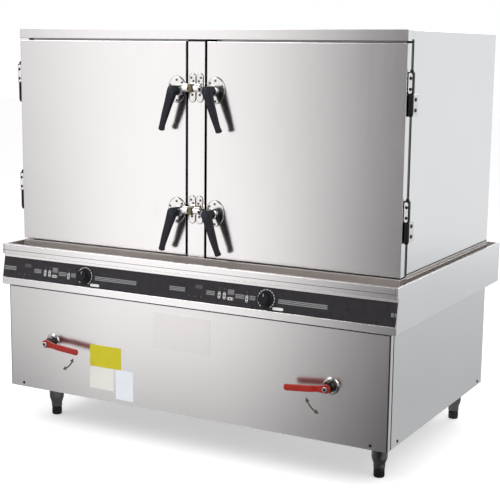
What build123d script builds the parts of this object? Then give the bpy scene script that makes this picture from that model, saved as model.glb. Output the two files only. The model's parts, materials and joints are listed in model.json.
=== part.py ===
from build123d import *
import os
from math import cos, hypot, radians, sin

# A two-door rice steamer cabinet on a waist with a drip gutter and a heated base.
# Sizes are in millimetres. X runs to the right, Y to the back and Z up.
# The origin is on the floor, at the middle of everything including the drain levers.

# Overall sizes
rim_width = 1500
rim_depth = 1000
valve_reach = 39

# Heights of the main sections, from the floor up
base_bottom = 138
base_height = 370
waist_height = 143
door_rise = 13
door_height = 700
header_height = 39
door_seam = 5
side_panel_rise = 5

# Cabinet
gutter_side = 27.5
gutter_front = 91
gutter_back = 72
gutter_drop = 40
upstand_height = 43
door_thickness = 42
door_gap = 6
door_reveal = 6
mullion_width = 65
wall_thickness = 50
skin = 1.5
door_sheet = 1.2
fold_radius = 2
seam = 0.3

# Chambers
mouth_margin = 36
chamber_floor_rise = 1
gasket_width = 14
gasket_inset = 8
vent_radius = 25
vent_length = 20
vent_drop = 36

# Tray racks
rail_pitch = 72
rail_start = 100
rail_width = 25
rail_lip = 12
rail_sheet = 2
rack_post_width = 25
rack_post_sheet = 3
rack_inset = 40
rack_head_room = 20

# Water tanks, coils and power modules
tank_side_room = 71
tank_end_room = 89.5
tank_wall = 2
tank_flange = 15
tank_fit = 0.5
tank_spout_radius = 16
tank_spout_length = 12
coil_radius = 140
coil_bore = 40
coil_height = 22
coil_room = 1.5
shelf_sheet = 3
shelf_half_width = 130
module_width = 260
module_depth = 380
module_height = 90
module_wall = 5
fin_count = 9
fin_height = 30
fin_sheet = 3
module_beam_offset = 125

# Waist
lip_width = 8
end_strip = 6
end_seam = 1
tray_gap = 1
fascia_set_back = 5
fascia_height = 34
bed_top_set_back = 17
bed_bottom_drop = 118
bed_bottom_set_back = 1
panel_thickness = 1.5
panel_height = 74
panel_end_gap = 3

# Base
base_side_inset = 22
base_front_set_back = 13
base_back_set_back = 81
cover_return = 25
cover_seam = 3
inner_return = 15
slot_drop = 78
slot_length = 45
slot_width = 6
slot_pitch_x = 60
slot_pitch_z = 14
slot_columns = 9
slot_rows = 5

# Frame, legs and feet
frame_sheet = 4
ring_width = 30
beam_height = 30
post_width = 50
leg_inset = 84
leg_front = 149
leg_rear = 50
shelf_drop = 53
leg_radius = 26
leg_lower_radius = 19
leg_taper_start = 70
leg_wall = 2
leg_plate = 80
leg_plate_sheet = 3
foot_height = 30
foot_radius = 18
foot_stem_radius = 6
foot_stem_length = 70
foot_travel = 30
foot_seat = 0.3
running_fit = 0.05

# Door hinges
hinge_offset = 10
hinge_back = 13
knuckle_radius = 8
hinge_pin_radius = 4
hinge_leaf_sheet = 3
hinge_half_height = 66
hinge_split_rise = 168
hinge_split_drop = 150
hinge_leaf_gap = 2.5
hinge_leaf_end = 84
door_leaf_end = 39
hinge_cap_height = 9
hinge_cap_radius = 6
hinge_screw_spread = 32
hinge_screw_radius = 5
hinge_screw_height = 2.5
hinge_bolt_inset = 21

# Latches and their keepers
latch_rise = 146
latch_drop = 157
latch_x = 65
latch_plate_x = 73
latch_plate_rise = 2
latch_plate_width = 68
latch_plate_height = 84
latch_plate_sheet = 4
latch_plate_screws = ((0, 31), (25, 14), (0, -35), (-20, 23))
latch_boss_radius = 18
latch_boss_height = 10
latch_screw_radius = 3.5
latch_screw_height = 1.5
spindle_radius = 6
neck_radius = 16
lever_front = 52
lever_back = 34
lever_length = 138
lever_splay = 19
lever_head_radius = 17
lever_tip_radius = 8
lever_foot = 6
lever_foot_length = 18
lever_edge = 2.5
tongue_gap = 1.5
tongue_width = 20
tongue_back = 21
tongue_front = 33
keeper_rise = 9
keeper_plate_width = 24
keeper_plate_height = 92
keeper_plate_sheet = 2.5
keeper_plate_x = 14
keeper_screws = ((4, 32), (-4, 21), (0, -23))
keeper_block_width = 20
roller_radius = 13
roller_length = 22
roller_centre = 28
axle_radius = 5
roller_play = 0.5

# Drain valves
valve_inset = 190
valve_rise = 182
valve_stem_radius = 9
valve_body_radius = 24
valve_body_length = 70
escutcheon_radius = 28
escutcheon_height = 6
valve_collar_radius = 17
valve_collar_height = 22
valve_lever_length = 142
valve_lever_sheet = 7
valve_lever_height = 20
valve_lever_droop = 5
valve_crank = 5
valve_crank_start = 26
valve_crank_end = 46
valve_boss_radius = 14
valve_shank_radius = 5
nut_height = 8
nut_radius = 9
pipe_radius = 16
drain_drop = 113
drain_rise = 62
drain_outlet_length = 60
drain_nipple_radius = 18
drain_nipple_length = 40
pipe_bend = 30

# Water feed
feed_x = 220
feed_rise = 192
feed_radius = 6
feed_stub_radius = 10.5
feed_outlet_length = 45
feed_entry_rise = 52
feed_stand_off = 16
feed_bend = 20
solenoid_size = 36

# Cable gland
gland_inset = 128
gland_rise = 112
gland_bore = 9
gland_radius = 18
gland_length = 20

# Knobs on the sloping panel
knob_positions = (-391, 311)
control_joint = -51
knob_radius = 26.5
knob_height = 22
knob_taper = 3
knob_shaft_radius = 3
bezel_radius = 32
bezel_height = 2.5
bush_radius = 8
bush_depth = 12
knob_lift = 1

# Casing screws
screw_radius = 5
screw_head = 2.5
screw_shank = 2
screw_depth = 10
screw_fit = 0.2
front_screw_inset = 55
side_screw_front = 84
side_screw_rear = 45
screw_rise = 12

# Places worked out from the sizes above
overall_depth = rim_depth + valve_reach
rim_front = valve_reach - overall_depth / 2
rim_back = rim_front + rim_depth
rim_x = rim_width / 2
base_top = base_bottom + base_height
rim_top = base_top + waist_height
door_bottom = rim_top + door_rise
door_top = door_bottom + door_height
total_height = door_top + header_height
side_panel_bottom = door_bottom + side_panel_rise
door_face = rim_front + gutter_front
door_back = door_face + door_thickness
body_front = door_back + door_gap
cabinet_back = rim_back - gutter_back
cabinet_x = rim_x - gutter_side
mullion_x = mullion_width / 2
door_inner_x = mullion_x + door_reveal
gutter_floor = rim_top - gutter_drop
plinth_top = door_bottom - door_seam
header_bottom = door_top + door_seam
cover_underside = total_height - skin
fascia_face = rim_front + fascia_set_back
fascia_bottom = rim_top - fascia_height
bed_top = (rim_front + bed_top_set_back, fascia_bottom)
bed_foot = (rim_front + bed_bottom_set_back, rim_top - bed_bottom_drop)
slope_run = hypot(bed_top[0] - bed_foot[0], bed_top[1] - bed_foot[1])
slope_cos = (bed_top[1] - bed_foot[1]) / slope_run
slope_sin = (bed_top[0] - bed_foot[0]) / slope_run
half_skin = skin / 2
base_x = rim_x - base_side_inset
base_front = rim_front + base_front_set_back
base_back = rim_back - base_back_set_back
leg_x = base_x - leg_inset
leg_ys = (base_front + leg_front, base_back - leg_rear)
frame_bottom = base_bottom + skin
deck_underside = gutter_floor - skin
chamber_x = (door_inner_x + mouth_margin, cabinet_x - mouth_margin)
chamber_z = (door_bottom + mouth_margin, door_top - mouth_margin)
chamber_back = cabinet_back - wall_thickness
chamber_floor = rim_top + chamber_floor_rise
chamber_middle = (chamber_x[0] + chamber_x[1]) / 2
tank_x = (chamber_x[0] + tank_side_room, chamber_x[1] - tank_side_room)
tank_y = (body_front + tank_end_room, chamber_back - tank_end_room)
tank_middle_y = (body_front + chamber_back) / 2
shelf_level = base_top - shelf_drop
coil_bottom = shelf_level + shelf_sheet
tank_bottom = coil_bottom + coil_height
slot_level = base_top - slot_drop
hinge_x = cabinet_x + hinge_offset
hinge_y = door_face + hinge_back
hinge_split_levels = (door_bottom + hinge_split_rise, door_top - hinge_split_drop)
latch_levels = (door_bottom + latch_rise, door_top - latch_drop)
valve_front = rim_front - valve_reach
valve_x = base_x - valve_inset
valve_z = base_bottom + valve_rise
heater_x = valve_x - tank_spout_radius - coil_room - coil_radius
drain_high = base_top - drain_drop
drain_low = base_bottom + drain_rise
feed_z = base_bottom + feed_rise
feed_entry = base_top + feed_entry_rise
gland_x = gland_inset - base_x
gland_z = base_bottom + gland_rise
sides = (-1, 1)
side_names = {-1: "left", 1: "right"}
level_names = dict(zip(latch_levels, ("lower", "upper")))


def block(x, y, z, mode=Mode.ADD):
    """A box between two limits along each axis."""
    middle = ((x[0] + x[1]) / 2, (y[0] + y[1]) / 2)
    with BuildSketch(Plane.XY.offset(min(z))) as footprint:
        with Locations(middle):
            Rectangle(abs(x[1] - x[0]), abs(y[1] - y[0]))
    extrude(footprint.sketch, amount=abs(z[1] - z[0]), mode=mode)


def rod(start, direction, length, radius, mode=Mode.ADD):
    """A round bar from a point, along a direction."""
    with BuildSketch(Plane(origin=start, z_dir=direction)) as end:
        Circle(radius)
    extrude(end.sketch, amount=length, mode=mode)


def pipe(points, radius, bend):
    """A round pipe that runs through the points, with equal bends."""
    with BuildLine() as route:
        FilletPolyline(*points, radius=bend)
    with BuildSketch(Plane(origin=route.line @ 0, z_dir=route.line % 0)) as end:
        Circle(radius)
    sweep(end.sketch, path=route.line)


def pair(side, values):
    """Two X limits mirrored to one side of the middle."""
    return (side * values[0], side * values[1])


def end_sheet(limits, end):
    """The sheet at the low or high end of two limits, as thick as the frame's steel."""
    if end < 0:
        return (min(limits), min(limits) + frame_sheet)
    return (max(limits) - frame_sheet, max(limits))


def angle_bar(x, y, z, web_axis, web_end, flange_end):
    """A steel angle that fills two faces of a box: its web and its flange."""
    web = [x, y, z]
    web[web_axis] = end_sheet(web[web_axis], web_end)
    block(*web)
    block(x, y, end_sheet(z, flange_end))


def save(piece, name):
    """Label a finished piece and write it to its own file."""
    piece.part.label = name
    export_step(piece.part, f"parts/{name}.step")


def casing_screws():
    """Each screw that holds a base cover: where its head sits and the way it points in."""
    level = frame_bottom + screw_rise
    places = []
    for side in sides:
        places.append(((side * (base_x - front_screw_inset), base_front, level), (0, 1, 0)))
        places.append(((side * (base_x - front_screw_inset), base_back, level), (0, -1, 0)))
        places.append(((side * base_x, base_front + side_screw_front, level), (-side, 0, 0)))
        places.append(((side * base_x, base_back - side_screw_rear, level), (-side, 0, 0)))
    return places


def cut_screw_holes():
    """Clearance holes for the casing screws in whatever piece is being made."""
    for place, inward in casing_screws():
        start = tuple(place[axis] - inward[axis] * screw_head for axis in range(3))
        rod(start, inward, screw_head + screw_depth, screw_shank + screw_fit, mode=Mode.SUBTRACT)


os.makedirs("parts", exist_ok=True)

# Cabinet outer panels
with BuildPart() as side_panels:
    for side in sides:
        block(pair(side, (cabinet_x - skin, cabinet_x)), (body_front, cabinet_back),
              (side_panel_bottom, cover_underside))
save(side_panels, "side_panels")

vent_z = chamber_z[1] - vent_drop
with BuildPart() as back_panel:
    block((skin - cabinet_x, cabinet_x - skin), (cabinet_back - skin, cabinet_back),
          (gutter_floor, cover_underside))
    for side in sides:
        rod((side * chamber_middle, cabinet_back - wall_thickness, vent_z), (0, 1, 0),
            2 * wall_thickness, vent_radius + seam, mode=Mode.SUBTRACT)
save(back_panel, "back_panel")

with BuildPart() as top_cover:
    block((-cabinet_x, cabinet_x), (door_face, cabinet_back), (cover_underside, total_height))
    block((-cabinet_x, cabinet_x), (door_face, door_face + skin), (header_bottom, total_height))
    block((-cabinet_x, cabinet_x), (door_face, body_front), (header_bottom, header_bottom + skin))
    for side in sides:
        block(pair(side, (cabinet_x - skin, cabinet_x)), (door_face, body_front),
              (header_bottom, total_height))
save(top_cover, "top_cover")

with BuildPart() as mullion:
    block((-mullion_x, mullion_x), (door_face, door_face + skin), (plinth_top, header_bottom))
    for side in sides:
        block(pair(side, (mullion_x - skin, mullion_x)), (door_face, body_front),
              (plinth_top, header_bottom))
save(mullion, "mullion")

with BuildPart() as plinth:
    block((-cabinet_x, cabinet_x), (door_face, door_face + skin), (gutter_floor, plinth_top))
    block((-cabinet_x, cabinet_x), (door_face, body_front), (plinth_top - skin, plinth_top))
    for side in sides:
        block(pair(side, (cabinet_x - skin, cabinet_x)), (door_face, body_front),
              (gutter_floor, plinth_top))
        block(pair(side, (cabinet_x - skin, cabinet_x)), (body_front, cabinet_back),
              (gutter_floor, side_panel_bottom))
save(plinth, "plinth")

# Chamber liners, each with a flange that the door seals on
with BuildPart() as chamber_liners:
    for side in sides:
        outer_x = pair(side, (chamber_x[0] - skin, chamber_x[1] + skin))
        inner_x = pair(side, chamber_x)
        block(pair(side, (seam / 2, cabinet_x - skin)), (body_front, body_front + skin),
              (gutter_floor, cover_underside))
        block(outer_x, (body_front, chamber_back), (chamber_floor - skin, chamber_z[1] + skin))
        block(inner_x, (body_front + skin, chamber_back - skin), (chamber_floor, chamber_z[1]),
              mode=Mode.SUBTRACT)
        block(inner_x, (body_front, body_front + skin), chamber_z, mode=Mode.SUBTRACT)
        block(pair(side, (tank_x[0] - tank_fit, tank_x[1] + tank_fit)),
              (tank_y[0] - tank_fit, tank_y[1] + tank_fit), (chamber_floor - skin, chamber_floor),
              mode=Mode.SUBTRACT)
        vent_start = (side * chamber_middle, chamber_back - skin, vent_z)
        vent_run = cabinet_back - chamber_back + skin + vent_length
        rod(vent_start, (0, 1, 0), vent_run, vent_radius)
        rod(vent_start, (0, 1, 0), vent_run, vent_radius - skin, mode=Mode.SUBTRACT)
save(chamber_liners, "chamber_liners")

# Foam between the liners and the outer panels
with BuildPart() as insulation_jacket:
    block((skin - cabinet_x, cabinet_x - skin), (body_front + skin, cabinet_back - skin),
          (gutter_floor, cover_underside))
    for side in sides:
        block(pair(side, (chamber_x[0] - skin, chamber_x[1] + skin)), (body_front, chamber_back),
              (chamber_floor - skin, chamber_z[1] + skin), mode=Mode.SUBTRACT)
        block(pair(side, (tank_x[0] - tank_fit, tank_x[1] + tank_fit)),
              (tank_y[0] - tank_fit, tank_y[1] + tank_fit), (gutter_floor, chamber_floor),
              mode=Mode.SUBTRACT)
        rod((side * chamber_middle, chamber_back, vent_z), (0, 1, 0), wall_thickness,
            vent_radius + seam, mode=Mode.SUBTRACT)
save(insulation_jacket, "insulation_jacket")


# Tray racks, one on each wall of each chamber
rack_foot = chamber_floor + skin
rack_top = chamber_z[1] - rack_head_room
rail_count = int((rack_top - chamber_floor - rail_start) // rail_pitch) + 1
with BuildPart() as tray_racks:
    for side in sides:
        for wall_x, inward in ((chamber_x[0], 1), (chamber_x[1], -1)):
            post_x = (side * wall_x, side * (wall_x + inward * rack_post_sheet))
            rail_x = (side * wall_x, side * (wall_x + inward * rail_width))
            front = body_front + skin + rack_inset
            back = chamber_back - skin - rack_inset
            for post_y in (front, back - rack_post_width):
                block(post_x, (post_y, post_y + rack_post_width), (rack_foot, rack_top))
            with BuildSketch(Plane(origin=(0, back, 0), x_dir=(1, 0, 0), z_dir=(0, -1, 0))) as rails:
                for number in range(rail_count):
                    level = chamber_floor + rail_start + number * rail_pitch
                    with Locations((sum(rail_x) / 2, level + rail_sheet / 2)):
                        Rectangle(rail_width, rail_sheet)
                    with Locations((sum(post_x) / 2, level + rail_lip / 2)):
                        Rectangle(rack_post_sheet, rail_lip)
            extrude(rails.sketch, amount=back - front)
save(tray_racks, "tray_racks")

# Water tanks with a flange that rests on the chamber floor
spout_y = tank_y[0] + ring_width
with BuildPart() as water_tanks:
    for side in sides:
        outer_x = pair(side, tank_x)
        block(outer_x, tank_y, (tank_bottom, chamber_floor))
        block(pair(side, (tank_x[0] - tank_flange, tank_x[1] + tank_flange)),
              (tank_y[0] - tank_flange, tank_y[1] + tank_flange),
              (chamber_floor, chamber_floor + skin))
        rod((side * valve_x, spout_y, tank_bottom), (0, 0, -1), tank_spout_length,
            tank_spout_radius)
        block(pair(side, (tank_x[0] + tank_wall, tank_x[1] - tank_wall)),
              (tank_y[0] + tank_wall, tank_y[1] - tank_wall),
              (tank_bottom + tank_wall, chamber_floor + skin), mode=Mode.SUBTRACT)
        rod((side * valve_x, spout_y, tank_bottom + tank_wall), (0, 0, -1),
            tank_spout_length + tank_wall, tank_spout_radius - tank_wall, mode=Mode.SUBTRACT)
save(water_tanks, "water_tanks")

# Flat induction coils under the tanks
with BuildPart() as induction_coils:
    for side in sides:
        centre = (side * heater_x, tank_middle_y, coil_bottom)
        rod(centre, (0, 0, 1), tank_bottom - coil_bottom, coil_radius)
        rod(centre, (0, 0, 1), coil_height, coil_bore, mode=Mode.SUBTRACT)
save(induction_coils, "induction_coils")

# Power modules with cooling fins, on the lower cross beams
module_foot = frame_bottom + beam_height
with BuildPart() as power_modules:
    for side in sides:
        left = side * heater_x - module_width / 2
        module_y = (tank_middle_y - module_depth / 2, tank_middle_y + module_depth / 2)
        block((left, left + module_width), module_y, (module_foot, module_foot + module_height))
        block((left + module_wall, left + module_width - module_wall),
              (module_y[0] + module_wall, module_y[1] - module_wall),
              (module_foot + module_wall, module_foot + module_height - module_wall), mode=Mode.SUBTRACT)
        spacing = (module_width - fin_sheet) / (fin_count - 1)
        with BuildSketch(Plane.XY.offset(module_foot + module_height)) as fins:
            with Locations((side * heater_x, tank_middle_y)):
                with GridLocations(spacing, module_depth, fin_count, 1):
                    Rectangle(fin_sheet, module_depth)
        extrude(fins.sketch, amount=fin_height)
save(power_modules, "power_modules")

# Gutter tray around the foot of the cabinet
tray_x = rim_x - skin - seam
tray_y = (bed_top[0] + skin + tray_gap, rim_back - skin - seam)
tray_top = rim_top - skin
with BuildPart() as gutter_tray:
    block((-tray_x, tray_x), tray_y, (deck_underside, tray_top))
    block((skin - tray_x, tray_x - skin), (tray_y[0] + skin, tray_y[1] - skin),
          (gutter_floor, tray_top), mode=Mode.SUBTRACT)
    upstand_x = cabinet_x + skin
    upstand_y = (body_front, cabinet_back + skin)
    block((-upstand_x, upstand_x), upstand_y, (gutter_floor, gutter_floor + upstand_height))
    block((-cabinet_x, cabinet_x), (body_front, cabinet_back),
          (gutter_floor, gutter_floor + upstand_height), mode=Mode.SUBTRACT)
    for side in sides:
        block(pair(side, (tank_x[0] - tank_fit, tank_x[1] + tank_fit)),
              (tank_y[0] - tank_fit, tank_y[1] + tank_fit), (deck_underside, gutter_floor),
              mode=Mode.SUBTRACT)
save(gutter_tray, "gutter_tray")

front_lip_end = tray_y[0] + skin

# Ends and back of the waist: the end plates are cut to the profile of the front
with BuildPart() as waist_panels:
    for side in sides:
        outline = Plane(origin=(side * (rim_x - skin), 0, 0), x_dir=(0, side, 0), z_dir=(side, 0, 0))
        with BuildSketch(outline) as end_plate:
            with BuildLine() as edge:
                Polyline(*[(side * y, z) for y, z in (
                    (rim_back, base_top), (rim_back, rim_top), (fascia_face, rim_top),
                    (fascia_face, fascia_bottom), bed_top, bed_foot,
                    (rim_front, bed_foot[1]), (rim_front, base_top))], close=True)
            make_face()
        extrude(end_plate.sketch, amount=skin)
        block(pair(side, (rim_x - lip_width, rim_x - skin)), (front_lip_end, rim_back - lip_width),
              (rim_top - skin, rim_top))
        block(pair(side, (rim_x - end_strip, rim_x - skin)), (fascia_face, fascia_face + skin),
              (fascia_bottom, rim_top))
        block(pair(side, (base_x - inner_return, rim_x - skin)), (base_front, rim_back - skin),
              (base_top, base_top + skin))
    block((skin - rim_x, rim_x - skin), (rim_back - skin, rim_back), (base_top, rim_top))
    block((skin - rim_x, rim_x - skin), (rim_back - lip_width, rim_back), (rim_top - skin, rim_top))
    block((inner_return + seam - base_x, base_x - inner_return - seam),
          (base_back - inner_return, rim_back), (base_top, base_top + skin))
save(waist_panels, "waist_panels")


def panel_plane(x):
    """A plane on the sloping bed at one X and half way up the panels, facing out, Y up the slope."""
    middle_y = bed_foot[0] + slope_sin * panel_height / 2
    middle_z = bed_foot[1] + slope_cos * panel_height / 2
    return Plane(origin=(x, middle_y, middle_z), x_dir=(1, 0, 0), z_dir=(0, -slope_cos, slope_sin))


def bed_sheet_point(level):
    """The middle of the bed's sheet at one height."""
    face_y = bed_foot[0] + (level - bed_foot[1]) * slope_sin / slope_cos
    return (face_y + half_skin / slope_cos, level)


# Front of the waist: one folded sheet, with a sloping bed for the control panels
with BuildPart() as rim_fascia:
    with BuildSketch(Plane(origin=(skin - rim_x, 0, 0), x_dir=(0, 1, 0), z_dir=(1, 0, 0))):
        with BuildLine():
            Polyline((front_lip_end, rim_top - half_skin),
                     (fascia_face + half_skin, rim_top - half_skin),
                     (fascia_face + half_skin, fascia_bottom + half_skin),
                     bed_sheet_point(fascia_bottom + half_skin),
                     bed_sheet_point(bed_foot[1] - half_skin),
                     (rim_front + half_skin, bed_foot[1] - half_skin),
                     (rim_front + half_skin, base_top + half_skin),
                     (base_front + inner_return, base_top + half_skin))
        trace(line_width=skin)
    extrude(amount=rim_width - 2 * skin)
    for side in sides:
        block(pair(side, (base_x - inner_return - seam, rim_x)), (base_front - seam, rim_back),
              (base_top, base_top + skin), mode=Mode.SUBTRACT)
        block(pair(side, (rim_x - end_strip - end_seam, rim_x)), (rim_front, fascia_face + skin + seam),
              (fascia_bottom, rim_top), mode=Mode.SUBTRACT)
    for knob_x in knob_positions:
        with BuildSketch(panel_plane(knob_x)) as hole:
            Circle(bush_radius + seam)
        extrude(hole.sketch, amount=-bush_depth, mode=Mode.SUBTRACT)
save(rim_fascia, "rim_fascia")

# Two printed control panels that meet at a joint left of the middle
panel_ends = ((panel_end_gap - rim_x, control_joint - seam / 2),
              (control_joint + seam / 2, rim_x - panel_end_gap))
with BuildPart() as control_panels:
    for start, end in panel_ends:
        with BuildSketch(panel_plane((start + end) / 2)) as face:
            Rectangle(end - start, panel_height)
        extrude(face.sketch, amount=panel_thickness)
    for knob_x in knob_positions:
        with BuildSketch(panel_plane(knob_x)) as hole:
            Circle(bush_radius + seam)
        extrude(hole.sketch, amount=panel_thickness, mode=Mode.SUBTRACT)
save(control_panels, "control_panels")

# Bezels with the bushes that carry the knob shafts
with BuildPart() as knob_bezels:
    for knob_x in knob_positions:
        with BuildSketch(panel_plane(knob_x).offset(panel_thickness)) as ring:
            Circle(bezel_radius)
            Circle(knob_shaft_radius + running_fit, mode=Mode.SUBTRACT)
        extrude(ring.sketch, amount=bezel_height)
        with BuildSketch(panel_plane(knob_x).offset(-bush_depth)) as bush:
            Circle(bush_radius)
            Circle(knob_shaft_radius + running_fit, mode=Mode.SUBTRACT)
        extrude(bush.sketch, amount=bush_depth + panel_thickness)
save(knob_bezels, "knob_bezels")

for side, knob_x in zip(sides, knob_positions):
    with BuildPart() as knob:
        knob_foot = panel_thickness + bezel_height + knob_lift
        with BuildSketch(panel_plane(knob_x).offset(knob_foot)) as skirt:
            Circle(knob_radius)
        extrude(skirt.sketch, amount=knob_height, taper=knob_taper)
        rim_edges = knob.edges().filter_by(GeomType.CIRCLE).sort_by(Axis.Y)[0]
        fillet(rim_edges, radius=fold_radius)
        with BuildSketch(panel_plane(knob_x).offset(-bush_depth)) as shaft:
            Circle(knob_shaft_radius)
        extrude(shaft.sketch, amount=bush_depth + knob_foot)
    save(knob, f"{side_names[side]}_knob")

# Base covers
with BuildPart() as base_front_panel:
    block((-base_x, base_x), (base_front, base_front + cover_return), (base_bottom, base_top))
    block((skin - base_x, base_x - skin), (base_front + skin, base_front + cover_return),
          (base_bottom + skin, base_top - skin), mode=Mode.SUBTRACT)
    block((ring_width - base_x, base_x - ring_width), (base_front + inner_return, base_front + cover_return),
          (base_bottom, base_top), mode=Mode.SUBTRACT)
    for side in sides:
        rod((side * valve_x, base_front, valve_z), (0, 1, 0), skin, valve_collar_radius + seam,
            mode=Mode.SUBTRACT)
    cut_screw_holes()
save(base_front_panel, "base_front_panel")

side_cover_front = base_front + cover_return + cover_seam
with BuildPart() as base_side_panels:
    for side in sides:
        block(pair(side, (base_x - inner_return, base_x)), (side_cover_front, base_back),
              (base_bottom, base_top))
        block(pair(side, (base_x - inner_return, base_x - skin)),
              (side_cover_front + skin, base_back), (base_bottom + skin, base_top - skin),
              mode=Mode.SUBTRACT)
        block(pair(side, (base_x - ring_width, base_x - skin)), (side_cover_front, side_cover_front + skin),
              (frame_bottom, frame_bottom + beam_height + seam), mode=Mode.SUBTRACT)
    cut_screw_holes()
save(base_side_panels, "base_side_panels")

with BuildPart() as base_back_panel:
    panel_middle = (base_bottom + base_top - seam) / 2
    with BuildSketch(Plane(origin=(0, base_back, panel_middle), x_dir=(1, 0, 0), z_dir=(0, -1, 0))) as sheet:
        Rectangle(2 * (base_x - inner_return - seam), base_top - base_bottom - seam)
        with Locations((0, slot_level - panel_middle)):
            with GridLocations(slot_pitch_x, slot_pitch_z, slot_columns, slot_rows):
                SlotOverall(slot_length, slot_width, mode=Mode.SUBTRACT)
    extrude(sheet.sketch, amount=skin)
    for side in sides:
        rod((side * valve_x, base_back - skin, drain_low), (0, 1, 0), skin, pipe_radius + seam,
            mode=Mode.SUBTRACT)
        rod((side * feed_x, base_back - skin, feed_z), (0, 1, 0), skin, feed_radius + seam,
            mode=Mode.SUBTRACT)
    rod((gland_x, base_back - skin, gland_z), (0, 1, 0), skin, gland_bore + skin + seam,
        mode=Mode.SUBTRACT)
    cut_screw_holes()
save(base_back_panel, "base_back_panel")

# Frame of steel angles inside the base, which carries the deck, the coils and the power modules
with BuildPart() as base_frame:
    frame_x = (skin - base_x, base_x - skin)
    ring_y = (base_front + skin, base_back - skin)
    ring_z = (frame_bottom, frame_bottom + beam_height)
    top_z = (deck_underside - beam_height, deck_underside)
    shelf_z = (shelf_level - beam_height, shelf_level)
    angle_bar(frame_x, (ring_y[0], ring_y[0] + ring_width), ring_z, 1, -1, -1)
    angle_bar(frame_x, (ring_y[1] - ring_width, ring_y[1]), ring_z, 1, 1, -1)
    for side in sides:
        angle_bar(pair(side, (frame_x[1] - ring_width, frame_x[1])), ring_y, ring_z, 0, side, -1)
        runner_x = (side * leg_x - post_width / 2, side * leg_x + post_width / 2)
        angle_bar(runner_x, ring_y, ring_z, 0, -side, -1)
        for level in (shelf_z, top_z):
            angle_bar(runner_x, leg_ys, level, 0, -side, 1)
        for leg_y, end in zip(leg_ys, sides):
            post_y = (leg_y - post_width / 2, leg_y + post_width / 2)
            post_z = (frame_bottom, deck_underside)
            block(end_sheet(runner_x, -side), post_y, post_z)
            block(runner_x, end_sheet(post_y, end), post_z)
        shelf_x = (side * heater_x - shelf_half_width, side * heater_x + shelf_half_width)
        block(shelf_x, leg_ys, (shelf_level, shelf_level + shelf_sheet))
    for leg_y, end in zip(leg_ys, sides):
        beam_y = (leg_y - ring_width / 2, leg_y + ring_width / 2)
        for level in (shelf_z, top_z):
            angle_bar((-leg_x, leg_x), beam_y, level, 1, end, 1)
    for end in sides:
        beam_y = tank_middle_y + end * module_beam_offset
        angle_bar((-leg_x, leg_x), (beam_y - ring_width / 2, beam_y + ring_width / 2), ring_z, 1, end, 1)
    cut_screw_holes()
save(base_frame, "base_frame")

# Legs, which bolt under the frame
with BuildPart() as leg_tubes:
    for side in sides:
        for leg_y in leg_ys:
            with BuildSketch(Plane(origin=(side * leg_x, leg_y, 0), x_dir=(1, 0, 0),
                                   z_dir=(0, -1, 0))) as half:
                with BuildLine() as outline:
                    Polyline((foot_stem_radius + running_fit, foot_height),
                             (leg_lower_radius, foot_height),
                             (leg_radius, leg_taper_start),
                             (leg_radius, frame_bottom - leg_plate_sheet),
                             (leg_radius - leg_wall, frame_bottom - leg_plate_sheet),
                             (leg_radius - leg_wall, leg_taper_start),
                             (foot_stem_radius + running_fit, leg_taper_start), close=True)
                make_face()
            revolve(half.sketch, axis=Axis((side * leg_x, leg_y, 0), (0, 0, 1)))
            block((side * leg_x - leg_plate / 2, side * leg_x + leg_plate / 2),
                  (leg_y - leg_plate / 2, leg_y + leg_plate / 2),
                  (frame_bottom - leg_plate_sheet, frame_bottom))
save(leg_tubes, "leg_tubes")

# Screw-in levelling feet
for side in sides:
    for leg_y, end_name in zip(leg_ys, ("front", "rear")):
        with BuildPart() as foot:
            rod((side * leg_x, leg_y, 0), (0, 0, 1), foot_height - foot_seat, foot_radius)
            lower_edge = foot.edges().filter_by(GeomType.CIRCLE).sort_by(Axis.Z)[0]
            chamfer(lower_edge, length=fold_radius)
            rod((side * leg_x, leg_y, foot_height - foot_seat), (0, 0, 1), foot_stem_length,
                foot_stem_radius)
        save(foot, f"{end_name}_{side_names[side]}_foot")

# Drain lines: tank spout, ball valve behind the front cover, then back to the outlet
valve_y = base_front + skin + valve_body_length / 2
with BuildPart() as drain_lines:
    for side in sides:
        x = side * valve_x
        pipe([(x, spout_y, tank_bottom - tank_spout_length), (x, spout_y, drain_high),
              (x, valve_y, drain_high), (x, valve_y, drain_low),
              (x, base_back + drain_outlet_length, drain_low)], pipe_radius, pipe_bend)
        rod((x, base_back + drain_outlet_length, drain_low), (0, -1, 0), drain_nipple_length,
            drain_nipple_radius)
        rod((x, valve_y, valve_z - valve_body_length / 2), (0, 0, 1), valve_body_length,
            valve_body_radius)
        rod((x, valve_y, valve_z), (0, -1, 0), valve_y - base_front, valve_collar_radius)
        rod((x, base_front, valve_z), (0, -1, 0), valve_collar_height, valve_collar_radius)
        rod((x, base_front - valve_collar_height, valve_z), (0, 1, 0),
            valve_collar_height, valve_stem_radius + running_fit, mode=Mode.SUBTRACT)
save(drain_lines, "drain_lines")

with BuildPart() as valve_escutcheons:
    for side in sides:
        with BuildSketch(Plane(origin=(side * valve_x, base_front, valve_z), z_dir=(0, -1, 0))) as disc:
            Circle(escutcheon_radius)
            Circle(valve_collar_radius + seam, mode=Mode.SUBTRACT)
        extrude(disc.sketch, amount=escutcheon_height)
    front_edges = valve_escutcheons.edges().filter_by(GeomType.CIRCLE).group_by(Axis.Y)[0]
    fillet(front_edges.sort_by(SortBy.RADIUS)[-2:], radius=fold_radius)
save(valve_escutcheons, "valve_escutcheons")

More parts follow.
